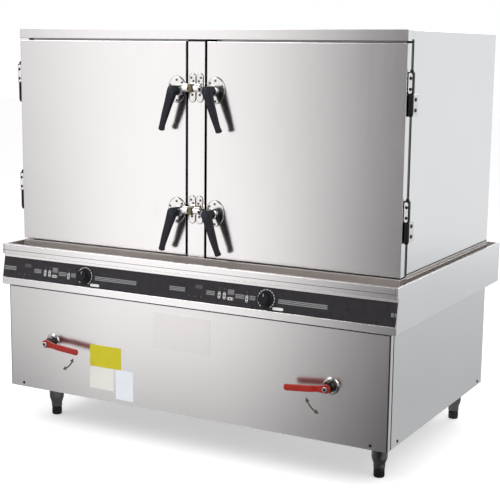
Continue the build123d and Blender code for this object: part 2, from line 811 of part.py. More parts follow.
# Drain levers, cranked outwards, each with its stem and nut
for side in sides:
    pivot = (side * valve_x, valve_front + nut_height, valve_z)
    droop = radians(valve_lever_droop)
    along = (-side * cos(droop), 0, -sin(droop))
    with BuildPart() as valve_lever:
        with BuildSketch(Plane(origin=pivot, x_dir=along, z_dir=(sin(droop), 0, -side * cos(droop)))) as top:
            with BuildLine():
                near = valve_lever_sheet / 2
                Polyline((0, near), (valve_crank_start, near), (valve_crank_end, near - valve_crank),
                         (valve_lever_length, near - valve_crank))
            trace(line_width=valve_lever_sheet)
        extrude(top.sketch, amount=valve_lever_height / 2, both=True)
        tip = valve_lever.faces().sort_by(Axis.X)[0 if side > 0 else -1]
        tip_edges = tip.edges().filter_by(Axis.Y)
        fillet(tip_edges, radius=valve_lever_height / 2 - fold_radius)
        rod(pivot, (0, 1, 0), valve_lever_sheet, valve_boss_radius)
        rod(pivot, (0, 1, 0), valve_lever_sheet, valve_shank_radius + running_fit, mode=Mode.SUBTRACT)
    save(valve_lever, f"{side_names[side]}_valve_lever")

    with BuildPart() as valve_stem:
        with BuildSketch(Plane(origin=pivot, z_dir=(0, -1, 0))) as nut:
            RegularPolygon(nut_radius, 6)
        extrude(nut.sketch, amount=nut_height)
        rod(pivot, (0, 1, 0), valve_lever_sheet, valve_shank_radius)
        stem_start = (pivot[0], pivot[1] + valve_lever_sheet, pivot[2])
        rod(stem_start, (0, 1, 0), base_front - stem_start[1] - seam, valve_stem_radius)
    save(valve_stem, f"{side_names[side]}_valve_stem")

# Water feed: stub at the back, solenoid valve, then into the back of the tank
feed_y = tank_y[1] + feed_stand_off
with BuildPart() as feed_lines:
    for side in sides:
        x = side * feed_x
        pipe([(x, base_back, feed_z), (x, feed_y, feed_z), (x, feed_y, feed_entry - feed_bend)],
             feed_radius, feed_bend)
        rod((x, feed_y, feed_entry - feed_bend), (0, 0, 1), feed_bend, feed_radius)
        rod((x, feed_y + feed_radius, feed_entry), (0, -1, 0), feed_stand_off + feed_radius, feed_radius)
        rod((x, base_back, feed_z), (0, 1, 0), feed_outlet_length, feed_stub_radius)
        block((x - solenoid_size / 2, x + solenoid_size / 2),
              (feed_y - feed_radius, feed_y + solenoid_size / 2),
              (feed_z + solenoid_size, feed_z + 2 * solenoid_size))
save(feed_lines, "feed_lines")

with BuildPart() as cable_gland:
    rod((gland_x, base_back, gland_z), (0, 1, 0), gland_length, gland_radius)
    rod((gland_x, base_back - 2 * skin, gland_z), (0, 1, 0), gland_length, gland_bore + skin)
    rod((gland_x, base_back - 2 * skin, gland_z), (0, 1, 0), gland_length + 2 * skin, gland_bore,
        mode=Mode.SUBTRACT)
save(cable_gland, "cable_gland")

# Doors: a folded front skin, a foam core, an inner pan and a gasket
for side in sides:
    door_x = pair(side, (door_inner_x, cabinet_x))
    core_x = pair(side, (door_inner_x + door_sheet, cabinet_x - door_sheet))
    core_z = (door_bottom + door_sheet, door_top - door_sheet)
    with BuildPart() as door_skin:
        block(door_x, (door_face, door_back - door_sheet), (door_bottom, door_top))
        front_edges = door_skin.faces().sort_by(Axis.Y)[0].edges()
        fillet(front_edges, radius=fold_radius)
        block(core_x, (door_face + door_sheet, door_back), core_z, mode=Mode.SUBTRACT)
    save(door_skin, f"{side_names[side]}_door_skin")

    with BuildPart() as door_core:
        block(core_x, (door_face + door_sheet, door_back - door_sheet), core_z)
    save(door_core, f"{side_names[side]}_door_core")

    with BuildPart() as door_pan:
        block(door_x, (door_back - door_sheet, door_back), (door_bottom, door_top))
    save(door_pan, f"{side_names[side]}_door_pan")

    with BuildPart() as door_gasket:
        inner = gasket_inset
        outer = gasket_inset + gasket_width
        block(pair(side, (chamber_x[0] - outer, chamber_x[1] + outer)), (door_back, body_front - seam),
              (chamber_z[0] - outer, chamber_z[1] + outer))
        block(pair(side, (chamber_x[0] - inner, chamber_x[1] + inner)), (door_back, body_front - seam),
              (chamber_z[0] - inner, chamber_z[1] + inner), mode=Mode.SUBTRACT)
    save(door_gasket, f"{side_names[side]}_door_gasket")


def hinge_half(side, levels, plates):
    """One half of a hinge: its plates, given outwards from the cabinet's side, run up between two levels."""
    with BuildSketch(Plane.XY.offset(levels[0])) as section:
        for x_limits, y_limits in plates:
            with Locations((side * (cabinet_x + sum(x_limits) / 2), sum(y_limits) / 2)):
                Rectangle(x_limits[1] - x_limits[0], y_limits[1] - y_limits[0])
    extrude(section.sketch, amount=levels[1] - levels[0])


def hinge_screws(start, outward, direction):
    """Two screw heads on a hinge, above or below the split where the start lies."""
    for step in (1, 2):
        level = start[2] + direction * (step * hinge_screw_spread - hinge_screw_spread / 2)
        rod((start[0], start[1], level), outward, hinge_screw_height, hinge_screw_radius)


leaf_face = hinge_leaf_gap + hinge_leaf_sheet
with BuildPart() as cabinet_hinge_leaves:
    for side in sides:
        for split in hinge_split_levels:
            bottom = split - hinge_half_height
            hinge_half(side, (bottom, split), (
                ((0, hinge_leaf_gap), (body_front, door_face + hinge_leaf_end)),
                ((hinge_leaf_gap, leaf_face), (hinge_y, door_face + hinge_leaf_end))))
            rod((side * hinge_x, hinge_y, bottom), (0, 0, 1), hinge_half_height, knuckle_radius)
            rod((side * hinge_x, hinge_y, split), (0, 0, 1), hinge_half_height + 2 * seam, hinge_pin_radius)
            rod((side * hinge_x, hinge_y, split + hinge_half_height + 2 * seam), (0, 0, 1),
                hinge_cap_height, hinge_cap_radius)
save(cabinet_hinge_leaves, "cabinet_hinge_leaves")

with BuildPart() as body_screws:
    for side in sides:
        for split in hinge_split_levels:
            hinge_screws((side * (cabinet_x + leaf_face), door_face + hinge_leaf_end - hinge_bolt_inset, split),
                         (side, 0, 0), -1)
    for place, inward in casing_screws():
        outward = tuple(-value for value in inward)
        rod(place, outward, screw_head, screw_radius)
        rod(place, inward, screw_depth, screw_shank)
save(body_screws, "body_screws")

for side in sides:
    with BuildPart() as door_hinge_leaves:
        for split in hinge_split_levels:
            levels = (split + seam, split + hinge_half_height + seam)
            hinge_half(side, levels, (
                ((0, hinge_leaf_sheet), (hinge_y, door_face + door_leaf_end)),
                ((0, hinge_offset + knuckle_radius), (hinge_y - knuckle_radius, hinge_y + knuckle_radius))))
            rod((side * hinge_x, hinge_y, levels[0]), (0, 0, 1), hinge_half_height,
                hinge_pin_radius + running_fit, mode=Mode.SUBTRACT)
            hinge_screws((side * hinge_x, hinge_y - knuckle_radius, split), (0, -1, 0), 1)
    save(door_hinge_leaves, f"{side_names[side]}_door_hinge_leaves")

# Latch bases on the doors
for side in sides:
    with BuildPart() as latch_bases:
        for level in latch_levels:
            centre = (side * latch_x, door_face, level)
            plate_z = level + latch_plate_rise
            with BuildSketch(Plane(origin=(side * latch_plate_x, door_face, plate_z), x_dir=(side, 0, 0),
                                   z_dir=(0, -1, 0))) as plate:
                Ellipse(latch_plate_width / 2, latch_plate_height / 2)
            extrude(plate.sketch, amount=latch_plate_sheet)
            rod(centre, (0, -1, 0), latch_plate_sheet + latch_boss_height, latch_boss_radius)
            rod(centre, (0, -1, 0), latch_plate_sheet + latch_boss_height,
                spindle_radius + running_fit, mode=Mode.SUBTRACT)
            for outward, up in latch_plate_screws:
                screw = (side * (latch_plate_x + outward), door_face - latch_plate_sheet, plate_z + up)
                rod(screw, (0, -1, 0), latch_screw_height, latch_screw_radius)
    save(latch_bases, f"{side_names[side]}_latch_bases")

# Latch levers and the tongues that turn with them
neck_start = latch_plate_sheet + latch_boss_height + seam
tongue_reach = latch_x - keeper_block_width / 2 - roller_play - roller_length - tongue_gap
for side in sides:
    for level in latch_levels:
        name = f"{level_names[level]}_{side_names[side]}"
        centre = (side * latch_x, door_face, level)
        splay = radians(lever_splay)
        along = (side * sin(splay), 0, -cos(splay))
        with BuildPart() as latch_lever:
            front = Plane(origin=centre, x_dir=along, z_dir=(0, -1, 0)).offset(lever_back)
            with BuildSketch(front) as outline:
                Circle(lever_head_radius)
                with Locations((lever_length - lever_tip_radius, 0)):
                    Circle(lever_tip_radius)
                make_hull()
            extrude(outline.sketch, amount=lever_front - lever_back)
            across = (-side * cos(splay), 0, -sin(splay))
            with BuildSketch(Plane(origin=centre, x_dir=along, z_dir=across)) as profile:
                with BuildLine():
                    Polyline(*[(d, side * h) for d, h in (
                        (-lever_head_radius, lever_back), (lever_head_radius, lever_back),
                        (lever_length - lever_foot_length, lever_back + lever_foot),
                        (lever_length, lever_back + lever_edge),
                        (lever_length, lever_front - lever_foot),
                        (lever_length / 2, lever_front), (-lever_head_radius, lever_front))], close=True)
                make_face()
            extrude(profile.sketch, amount=lever_head_radius, both=True, mode=Mode.INTERSECT)
            front_face = latch_lever.faces().sort_by(Axis.Y)[0]
            fillet(front_face.edges(), radius=lever_edge)
            rod((centre[0], door_face - neck_start, level), (0, -1, 0),
                lever_back + lever_edge - neck_start, neck_radius)
            rod((centre[0], door_face - neck_start, level), (0, -1, 0),
                lever_back + lever_edge - neck_start, spindle_radius, mode=Mode.SUBTRACT)
            block((centre[0], centre[0] - side * neck_radius * 2),
                  (door_face - tongue_back, door_face - tongue_front),
                  (level - tongue_width / 2, level + tongue_width / 2), mode=Mode.SUBTRACT)
        save(latch_lever, f"{name}_lever")

        with BuildPart() as latch_tongue:
            rod((centre[0], door_face - tongue_back, level), (0, -1, 0), tongue_front - tongue_back,
                tongue_reach)
            block((centre[0], centre[0] - side * tongue_reach),
                  (door_face - tongue_back, door_face - tongue_front),
                  (level - tongue_width / 2, level + tongue_width / 2), mode=Mode.INTERSECT)
            rod((centre[0], door_face - seam, level), (0, -1, 0), lever_back + lever_edge - seam,
                spindle_radius)
        save(latch_tongue, f"{name}_tongue")

# Keepers on the mullion, each with two rollers on one pin
with BuildPart() as keeper_brackets:
    for level in latch_levels:
        middle = level + keeper_rise
        with BuildSketch(Plane(origin=(0, door_face, middle), x_dir=(1, 0, 0), z_dir=(0, -1, 0))) as plates:
            with Locations((-keeper_plate_x, 0), (keeper_plate_x, 0)):
                SlotOverall(keeper_plate_height, keeper_plate_width, rotation=90)
        extrude(plates.sketch, amount=keeper_plate_sheet)
        block((-keeper_block_width / 2, keeper_block_width / 2),
              (door_face, door_face - roller_centre - roller_radius),
              (middle - roller_radius, middle + roller_radius))
        pin_length = keeper_block_width / 2 + roller_play + roller_length
        rod((-pin_length, door_face - roller_centre, middle), (1, 0, 0), 2 * pin_length, axle_radius)
        for side in sides:
            for outward, up in keeper_screws:
                screw = (side * (keeper_plate_x + outward), door_face - keeper_plate_sheet, middle + up)
                rod(screw, (0, -1, 0), latch_screw_height, latch_screw_radius)
save(keeper_brackets, "keeper_brackets")

for level in latch_levels:
    with BuildPart() as rollers:
        for side in sides:
            start = (side * (keeper_block_width / 2 + roller_play), door_face - roller_centre,
                     level + keeper_rise)
            rod(start, (side, 0, 0), roller_length - roller_play, roller_radius)
            rod(start, (side, 0, 0), roller_length, axle_radius + running_fit, mode=Mode.SUBTRACT)
    save(rollers, f"{level_names[level]}_keeper_rollers")
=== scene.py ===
import json
from math import cos, pi, radians, sin

import bpy
import numpy as np
from mathutils import Matrix, Vector


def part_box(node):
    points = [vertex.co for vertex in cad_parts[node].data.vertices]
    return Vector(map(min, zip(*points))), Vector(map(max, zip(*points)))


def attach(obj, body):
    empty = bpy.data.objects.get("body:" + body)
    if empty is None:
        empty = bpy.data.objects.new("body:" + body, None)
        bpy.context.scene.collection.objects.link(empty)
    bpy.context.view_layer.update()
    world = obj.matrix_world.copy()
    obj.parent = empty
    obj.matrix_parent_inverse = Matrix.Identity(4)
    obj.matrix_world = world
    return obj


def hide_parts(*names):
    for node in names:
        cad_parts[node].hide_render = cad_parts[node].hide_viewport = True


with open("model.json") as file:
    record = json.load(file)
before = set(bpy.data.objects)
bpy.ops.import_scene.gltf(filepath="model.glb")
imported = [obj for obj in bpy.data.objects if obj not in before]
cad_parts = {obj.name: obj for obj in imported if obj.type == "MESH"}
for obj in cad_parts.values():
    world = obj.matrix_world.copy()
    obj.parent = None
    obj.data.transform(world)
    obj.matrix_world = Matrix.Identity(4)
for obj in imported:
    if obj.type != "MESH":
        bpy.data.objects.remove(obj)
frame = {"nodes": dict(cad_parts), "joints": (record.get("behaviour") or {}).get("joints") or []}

bl_info = {
    "name": "Rice steamer cabinet",
    "version": (1, 0, 0),
    "blender": (4, 5, 0),
    "location": "3D View > Sidebar > Steamer",
    "description": "Dresses the steamer cabinet with its fittings, finishes, floor, lights and camera",
    "category": "Object",
}

MM = 0.001
SIDES = {"left": -1, "right": 1}
LEVELS = ("upper", "lower")
JOINTS = {joint["name"]: joint for joint in frame["joints"]}
DOOR_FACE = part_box("left_door_skin")[0].y
CABINET_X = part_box("side_panels")[1].x
BODY_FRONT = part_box("side_panels")[0].y
HEADER_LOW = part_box("top_cover")[0].z
DOOR_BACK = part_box("left_door_skin")[1].y
DOOR_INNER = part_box("right_door_skin")[0].x
DOOR_LOW, DOOR_TOP = (corner.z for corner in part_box("right_door_skin"))
MULLION_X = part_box("mullion")[1].x
PLINTH_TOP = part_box("plinth")[1].z
FASCIA_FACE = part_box("waist_panels")[0].y + 0.005
FASCIA_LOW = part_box("gutter_tray")[1].z - 0.0325
BASE_LOW, BASE_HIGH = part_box("base_front_panel")
BASE_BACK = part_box("base_back_panel")[1].y
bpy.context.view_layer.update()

OUT = (0.0, -1.0, 0.0)
BACK = (0.0, 1.0, 0.0)
UP = (0.0, 0.0, 1.0)
FLANGE_FRONT = BODY_FRONT + 0.0025
FOLD_MARGIN = 0.0013  # The part of a fold beside a gap that is painted dark as shade
SMOOTH_BELOW = radians(38)
# The colour of the painted shade in gaps, seams and folds
PAINTED_SHADE = (0.03, 0.03, 0.03)
RUBBER = (0.03, 0.03, 0.03)


# Sizes and colours that a user would change

def tint(name, note, value):
    """A colour among a group's settings."""
    return bpy.props.FloatVectorProperty(
        name=name, description=note, subtype="COLOR", size=3, default=value, min=0, max=1)


def number(name, note, value, **limits):
    """A number among a group's settings."""
    return bpy.props.FloatProperty(name=name, description=note, default=value, **limits)


def length(name, note, value):
    """A length in metres among a group's settings."""
    return number(name, note, value, unit="LENGTH")


class SteelSettings(bpy.types.PropertyGroup):
    """The sheet steel of the casing."""
    tone: tint("Tone", "Colour of the brushed sheet", (0.865, 0.847, 0.85))
    inner_tone: tint("Inner tone", "Colour of the duller inner sheet", (0.66, 0.66, 0.67))
    roughness: number("Roughness", "How much the sheet blurs what it mirrors", 0.17, min=0.02, max=1)
    brushing: number("Brushing", "Depth of the fine grain lines", 0.05, min=0, max=1)


class LatchSettings(bpy.types.PropertyGroup):
    """The door latches and their keepers."""
    colour: tint("Lever colour", "Colour of the black levers", (0.014, 0.013, 0.018))
    hub_width: length("Hub width", "Width of a lever at its pivot", 0.034)
    grip_width: length("Grip width", "Width of a lever near its tip", 0.0195)
    length: length("Length", "From the pivot to the tip", 0.138)
    cap_radius: length("Cap radius", "Radius of the cap on the pivot", 0.0122)


class HingeSettings(bpy.types.PropertyGroup):
    """The door hinges."""
    barrel_radius: length("Barrel radius", "Radius of the lower barrel", 0.008)
    insert_width: length("Insert width", "Width of the bright insert", 0.012)
    insert_height: length("Insert height", "Height of the bright insert", 0.06)


class PanelSettings(bpy.types.PropertyGroup):
    """The sloping control panels and their dials."""
    colour: tint("Panel colour", "Colour of the printed panels", (0.024, 0.021, 0.025))
    print_grey: tint("Print grey", "Colour of the grey printing", (0.24, 0.245, 0.245))
    flutes: bpy.props.IntProperty(
        name="Flutes", description="Number of flutes around a dial", default=28, min=3, max=60)


class DrainSettings(bpy.types.PropertyGroup):
    """The drain levers."""
    colour: tint("Lever colour", "Colour of the dipped levers", (0.33, 0.013, 0.007))
    sleeve_height: length("Sleeve height", "Height of the dipped sleeve", 0.0215)


class LegSettings(bpy.types.PropertyGroup):
    """The legs and their levelling feet."""
    tone: tint("Tone", "Colour of the leg tubes", (0.15, 0.145, 0.145))


class PlateSettings(bpy.types.PropertyGroup):
    """The bare plates on the front of the base."""
    yellow: tint("Yellow plate", "Colour of the yellow plate", (0.6, 0.53, 0.002))
    thickness: length("Thickness", "Thickness of a plate", 0.0004)


class StageSettings(bpy.types.PropertyGroup):
    """The floor, the lights and the camera."""
    floor: tint("Floor colour", "Colour of the floor", (0.8, 0.8, 0.8))
    camera_place: bpy.props.FloatVectorProperty(
        name="Camera place", description="Where the camera stands", subtype="TRANSLATION", size=3,
        default=(2.0107, -3.6774, 1.3458))
    yaw: number("Yaw", "Turn of the view to the left of straight on", 0.5025, subtype="ANGLE")
    pitch: number("Pitch", "How far the view looks down", 0.1696, subtype="ANGLE")
    roll: number("Roll", "Tilt of the camera", 0.0113, subtype="ANGLE")
    lens: number("Lens", "Focal length for a sensor 36 mm wide", 85.13, unit="CAMERA")


# Geometry

def unit(vector):
    """The vector divided by its length."""
    vector = np.asarray(vector, float)
    return vector / np.linalg.norm(vector)


def circle_angles(count):
    """Even angles round a circle, without the last, which is the first again."""
    return np.linspace(0, 2 * pi, count, endpoint=False)


class Seat:
    """A place on the cabinet, with its own right, up and outward directions."""

    def __init__(self, origin, out=OUT, up=UP):
        self.origin = np.asarray(origin, float)
        self.out = unit(out)
        self.right = unit(np.cross(up, self.out))
        self.up = np.cross(self.out, self.right)

    def moved(self, right=0.0, up=0.0, out=0.0):
        """The same directions from another origin, given along them."""
        origin = self.origin + right * self.right + up * self.up + out * self.out
        return Seat(origin, self.out, self.up)

    def turned(self, angle):
        """Right and up turned about the outward direction: right goes towards up."""
        return Seat(self.origin, self.out, cos(angle) * self.up - sin(angle) * self.right)

    def place(self, points):
        """Right, up and out coordinates added up along the three directions from the origin."""
        points = np.asarray(points, float)
        return (self.origin + points[..., 0:1] * self.right + points[..., 1:2] * self.up
                + points[..., 2:3] * self.out)


def around(seat, radius, height, angle):
    """Points whose right, up and out are radius * cos(angle), radius * sin(angle) and the height."""
    radius, height, angle = np.broadcast_arrays(radius, height, angle)
    return seat.place(np.stack([radius * np.cos(angle), radius * np.sin(angle), height], -1))


class Surface:
    """Closed surfaces gathered for one mesh. Profiles, which are turned, are in millimetres."""

    def __init__(self):
        self.points = []
        self.faces = []
        self.count = 0

    def _keep(self, points, quads, triangles):
        """Faces are turned over where the sum of a . (b x c) over the triangles is negative."""
        halves = [quads[:, [0, 1, 2]], quads[:, [0, 2, 3]], triangles]
        corners = points[np.concatenate(halves)] - points.mean(0)
        volume = np.einsum("ij,ij->i", corners[:, 0], np.cross(corners[:, 1], corners[:, 2])).sum()
        if volume < 0:
            quads, triangles = quads[:, ::-1], triangles[:, ::-1]
        self.faces += (quads + self.count).tolist() + (triangles + self.count).tolist()
        self.points.append(points)
        self.count += len(points)
        return self

    def loft(self, rings, closed=False):
        """Rings of equal length: point j of ring i joins point j + 1 and ring i + 1. A closed loft joins its last
        ring to the first, and an open one has a fan to the ring's mean point at each end."""
        rings = np.asarray(rings, float)
        count, around = rings.shape[:2]
        i, j = np.meshgrid(np.arange(count if closed else count - 1), np.arange(around), indexing="ij")
        i2, k = (i + 1) % count, (j + 1) % around
        quads = np.stack([i * around + j, i * around + k, i2 * around + k, i2 * around + j], -1).reshape(-1, 4)
        if closed:
            return self._keep(rings.reshape(-1, 3), quads, np.zeros((0, 3), int))
        rim = np.arange(around)
        after = (rim + 1) % around
        last = (count - 1) * around
        first_fan = np.stack([after, rim, np.full(around, count * around)], -1)
        last_fan = np.stack([last + rim, last + after, np.full(around, count * around + 1)], -1)
        points = np.concatenate([rings.reshape(-1, 3), rings[:1].mean(1), rings[-1:].mean(1)])
        return self._keep(points, quads, np.concatenate([first_fan, last_fan]))

    def stepped(self, seat, outline, insets, levels):
        """The outline moved inwards by each inset and outwards to each level."""
        shrunk = np.stack([inset(outline, distance) for distance in insets])
        rise = np.repeat(np.asarray(levels)[:, None, None], outline.shape[0], axis=1)
        return self.loft(seat.place(np.concatenate([shrunk, rise], axis=-1)))

    def plate(self, seat, outline, height, edge, start=0.0):
        """The outline raised from the start to a height, its top edge rounded by a quarter circle."""
        turn = np.linspace(0, pi / 2, 5)
        return self.stepped(seat, outline, [0.0, *edge * (1 - np.cos(turn)), edge * 1.6],
                            [start, *start + height - edge + edge * np.sin(turn), start + height])

    def pillow(self, seat, outline, height, edge):
        """The outline raised from 0 to a height, with both edges rounded by quarter circles."""
        turn = np.linspace(0, pi / 2, 5)
        rounding, rest = edge * (1 - np.cos(turn)), edge * (1 - np.sin(turn))
        return self.stepped(seat, outline, [edge * 1.6, *rest, *rounding, edge * 1.6],
                            [0.0, *rounding, *height - rest, height])

    def turned(self, seat, profile, sides=40, soft=0.0, steps=5, flutes=0, depth=0.0):
        """A profile of radius and height turned about the outward axis, with soft corners. The radius is lowered by
        depth * (1 - cos(flutes * angle)) / 2, times the profile's third column where it has one."""
        profile = softened(profile, soft, steps)
        angle, radius = circle_angles(sides), profile[:, :1]
        if flutes:
            radius = radius - depth * profile[:, 2:3] * (1 - np.cos(flutes * angle)) / 2
        return self.loft(around(seat, radius, profile[:, 1:2], angle))

    def spun(self, seat, profile, sides, soft, steps=5):
        """A closed profile of radius and height carried round the outward axis, as a ring with a bore."""
        radius, height = softened(profile, soft, steps).T
        return self.loft(around(seat, radius, height, circle_angles(sides)[:, None]), True)

    def arc(self, seat, radii, low, high, edge, sides, start, end):
        """A rounded rectangle of height and breadth carried along part of a circle between two radii."""
        breadth, rise = rounded(radii[1] - radii[0], high - low, edge, 3).T
        angle = np.linspace(start, end, sides)[:, None]
        return self.loft(around(seat, sum(radii) / 2 + breadth, (low + high) / 2 + rise, angle))

    def bar(self, seat, middle, across, width, depth, power, sides):
        """A path of middle points with a superellipse |x/w|^p + |y/d|^p = 1 set square to it at each point."""
        section = ellipse(1, 1, sides, 2 / power)
        return self.loft(seat.place(middle)[:, None] + across * (section[:, :1] * width[:, None, None])
                         + seat.out * (section[:, 1:] * depth[:, None, None]))

    def build(self, name, body, material, slot=None, *replaced):
        """The mesh as an object that rides on a body, or on the stage where it has none. It is smooth except across
        edges sharper than an angle."""
        mesh = bpy.data.meshes.new(name)
        mesh.from_pydata(np.concatenate(self.points).tolist(), [], self.faces)
        mesh.validate()
        mesh.shade_smooth()
        mesh.set_sharp_from_angle(angle=SMOOTH_BELOW)
        mesh.materials.append(material)
        piece = bpy.data.objects.new(name, mesh)
        bpy.context.scene.collection.objects.link(piece)
        if body is None:
            return
        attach(piece, body)
        if replaced:
            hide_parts(*replaced)


def inset(outline, distance):
    """A closed outline moved inwards: each point goes along the sum of its two edges' unit normals n1 + n2,
    divided by half its squared length."""
    ahead = np.roll(outline, -1, axis=0) - outline
    normal = np.stack([-ahead[:, 1], ahead[:, 0]], axis=1)
    normal /= np.linalg.norm(normal, axis=1, keepdims=True)
    total = normal + np.roll(normal, 1, axis=0)
    return outline + distance * total / ((total ** 2).sum(1, keepdims=True) / 2)


def ellipse(width, height, count, power=1):
    """Half the width times the cosine and half the height times the sine of an angle, both to a power: 1 is an
    ellipse, and less has fuller corners."""
    angle = circle_angles(count)
    wave = np.stack([np.cos(angle), np.sin(angle)], -1)
    return np.sign(wave) * np.abs(wave) ** power * (width / 2, height / 2)


def rounded(width, height, radius, steps=6):
    """A rectangle whose corners are quarter circles: corner centres plus radius times (cos, sin)."""
    radius = min(radius, width / 2 - 1e-6, height / 2 - 1e-6)
    corner = np.repeat(np.arange(4), steps)
    angle = corner * pi / 2 + np.tile(np.linspace(0, pi / 2, steps), 4)
    centre_x = np.where((corner == 0) | (corner == 3), 1, -1) * (width / 2 - radius)
    centre_y = np.where(corner < 2, 1, -1) * (height / 2 - radius)
    return np.stack([centre_x + radius * np.cos(angle), centre_y + radius * np.sin(angle)], -1)


def hexagon(radius, round_off, sides=6, steps=4):
    """A regular polygon whose corners are arcs: inner corner points plus round_off times (cos, sin)."""
    corner = np.repeat(np.arange(sides), steps)
    sweep = np.tile(np.linspace(-pi / sides, pi / sides, steps), sides)
    angle = corner * 2 * pi / sides
    inner = radius - round_off / cos(pi / sides)
    return np.stack([inner * np.cos(angle) + round_off * np.cos(angle + sweep),
                     inner * np.sin(angle) + round_off * np.sin(angle + sweep)], -1)


def softened(profile, radius, steps):
    """A profile in millimetres brought to metres. Each inner corner b of a, b, c is replaced by the curve
    (1-t)^2 p + 2t(1-t) b + t^2 q, where p and q lie on its two runs, a radius or nearly half a run from b."""
    profile = np.asarray(profile, float) * MM
    if not radius:
        return profile
    corner = profile[1:-1]
    cuts = []
    for other in (profile[:-2], profile[2:]):
        run = np.linalg.norm(other - corner, axis=1, keepdims=True)
        cuts.append((corner + np.minimum(radius * MM, run * 0.45) * (other - corner) / run)[:, None])
    t = np.linspace(0, 1, steps)[None, :, None]
    curve = (1 - t) ** 2 * cuts[0] + 2 * t * (1 - t) * corner[:, None] + t ** 2 * cuts[1]
    return np.concatenate([profile[:1], curve.reshape(-1, profile.shape[1]), profile[-1:]])


def smooth_steps(stations, places, values):
    """Values between stations by the smooth step 3t^2 - 2t^3."""
    stations, values = np.asarray(stations, float), np.asarray(values, float)
    index = np.clip(np.searchsorted(stations, places) - 1, 0, len(stations) - 2)
    t = np.clip((places - stations[index]) / (stations[index + 1] - stations[index]), 0, 1)
    return values[index] + (values[index + 1] - values[index]) * (3 * t ** 2 - 2 * t ** 3)


def round_end(share, least):
    """The height of a quarter circle, sqrt(1 - (1 - s)^2), at a share s of its radius, and 1 beyond it."""
    return np.sqrt(np.maximum(1 - (1 - np.clip(share, 0, 1)) ** 2, least))


def screw_head(surface, seat, radius=4.2, height=1.8):
    """A domed head in millimetres with a round drive recess, turned from a profile."""
    surface.turned(seat, ((radius, 0), (radius, height * 0.35), (radius * 0.72, height * 0.9),
                          (radius * 0.42, height), (radius * 0.38, height * 0.45),
                          (radius * 0.05, height * 0.4)), 28, radius * 0.2, 4)


# Finishes

def operation(kind, flipped=False):
    """A method that adds a Math node to a value, with its inputs in the other order where it is flipped."""
    def method(self, *others):
        node = self.tree.nodes.new("ShaderNodeMath")
        node.operation = kind
        inputs = (*others, self) if flipped else (self, *others)
        for socket, value in zip(node.inputs, inputs):
            connect(self.tree, value, socket)
        return Value(self.tree, node.outputs[0])
    return method


class Value:
    """A node's output that takes plain arithmetic."""

    def __init__(self, tree, socket):
        self.tree = tree
        self.socket = socket

    __add__ = __radd__ = operation("ADD")
    __sub__ = operation("SUBTRACT")
    __rsub__ = operation("SUBTRACT", True)
    __mul__ = __rmul__ = operation("MULTIPLY")
    __truediv__ = operation("DIVIDE")
    __gt__ = operation("GREATER_THAN")
    __lt__ = operation("LESS_THAN")
    power = operation("POWER")
    absolute = operation("ABSOLUTE")
    sine = operation("SINE")
    angle_from = operation("ARCTAN2")


def connect(tree, value, socket):
    """Links a value's socket, or writes a plain number or colour."""
    if isinstance(value, Value):
        tree.links.new(value.socket, socket)
    elif hasattr(value, "__len__") and hasattr(socket.default_value, "__len__"):
        socket.default_value = (tuple(value) + (1.0,))[:len(socket.default_value)]
    else:
        socket.default_value = value


class Nodes:
    """The nodes of one material or of the world."""

    def __init__(self, tree):
        self.tree = tree
        tree.nodes.clear()

    def make(self, kind, settings=None, sockets=None, output=0):
        """A node of any kind: its settings are set first, then its sockets, and one output comes back."""
        node = self.tree.nodes.new(kind)
        for name, setting in (settings or {}).items():
            setattr(node, name, setting)
        for name, value in (sockets or {}).items():
            connect(self.tree, value, node.inputs[name])
        return Value(self.tree, node.outputs[output])

    def show(self, kind, shader):
        """Joins a shader to a new output node."""
        self.tree.links.new(shader.socket, self.tree.nodes.new(kind).inputs["Surface"])

    def ray(self, kind):
        """1 for the rays of one kind, and 0 for others."""
        return self.make("ShaderNodeLightPath", output=f"Is {kind} Ray")

    def mix(self, factor, first, second):
        """A colour between two others."""
        return self.make("ShaderNodeMix", {"data_type": "RGBA"}, {0: factor, 6: first, 7: second}, 2)

    def tones(self, factor, colour, dark, light):
        """A colour between a darker and a lighter form of itself."""
        return self.mix(factor, shade(colour, dark), shade(colour, light))

    def ramp(self, factor, stops):
        """A colour ramp with stops of place, level and tint."""
        value = self.make("ShaderNodeValToRGB", None, {0: factor})
        elements = value.socket.node.color_ramp.elements
        for place, *_ in stops[1:-1]:
            elements.new(place)
        for element, (place, level, *tints) in zip(elements, stops):
            element.position = place
            element.color = (*shade(tints[0] if tints else (1, 1, 1), level), 1)
        return value

    def place(self, scale=(1, 1, 1)):
        """The object's own coordinates, scaled."""
        point = self.make("ShaderNodeTexCoord", output="Object")
        return self.make("ShaderNodeMapping", None, {"Vector": point, "Scale": scale})

    def axes(self, point=None):
        """The three coordinates of a point, or else of the object's own place."""
        node = self.make("ShaderNodeSeparateXYZ", None, {0: point or self.place()}).socket.node
        return [Value(self.tree, output) for output in node.outputs]

    def noise(self, scale, stretch=(1, 1, 1), detail=3.0, roughness=0.55):
        """Noise on the object's coordinates, which can be stretched into streaks."""
        return self.make("ShaderNodeTexNoise", None, {
            "Vector": self.place(stretch), "Scale": scale, "Detail": detail, "Roughness": roughness})

    def bump(self, height, strength, distance, **under):
        """A Bump node on a height, over the Normal of another where there is one."""
        return self.make("ShaderNodeBump", None, {
            "Height": height, "Strength": strength, "Distance": distance, **under})


class Finish(Nodes):
    """A material with one Principled shader."""

    def __init__(self, name, **sockets):
        self.material = bpy.data.materials.new(name)
        self.material.use_nodes = True
        super().__init__(self.material.node_tree)
        self.shader = self.make("ShaderNodeBsdfPrincipled", None, {
            socket.replace("_", " "): value for socket, value in sockets.items()})
        self.show("ShaderNodeOutputMaterial", self.shader)

    def skin(self, colour, roughness, normal):
        """Sets what varies over the surface and gives the material."""
        inputs = self.shader.socket.node.inputs
        for socket, value in (("Base Color", colour), ("Roughness", roughness), ("Normal", normal)):
            connect(self.tree, value, inputs[socket])
        return self.material


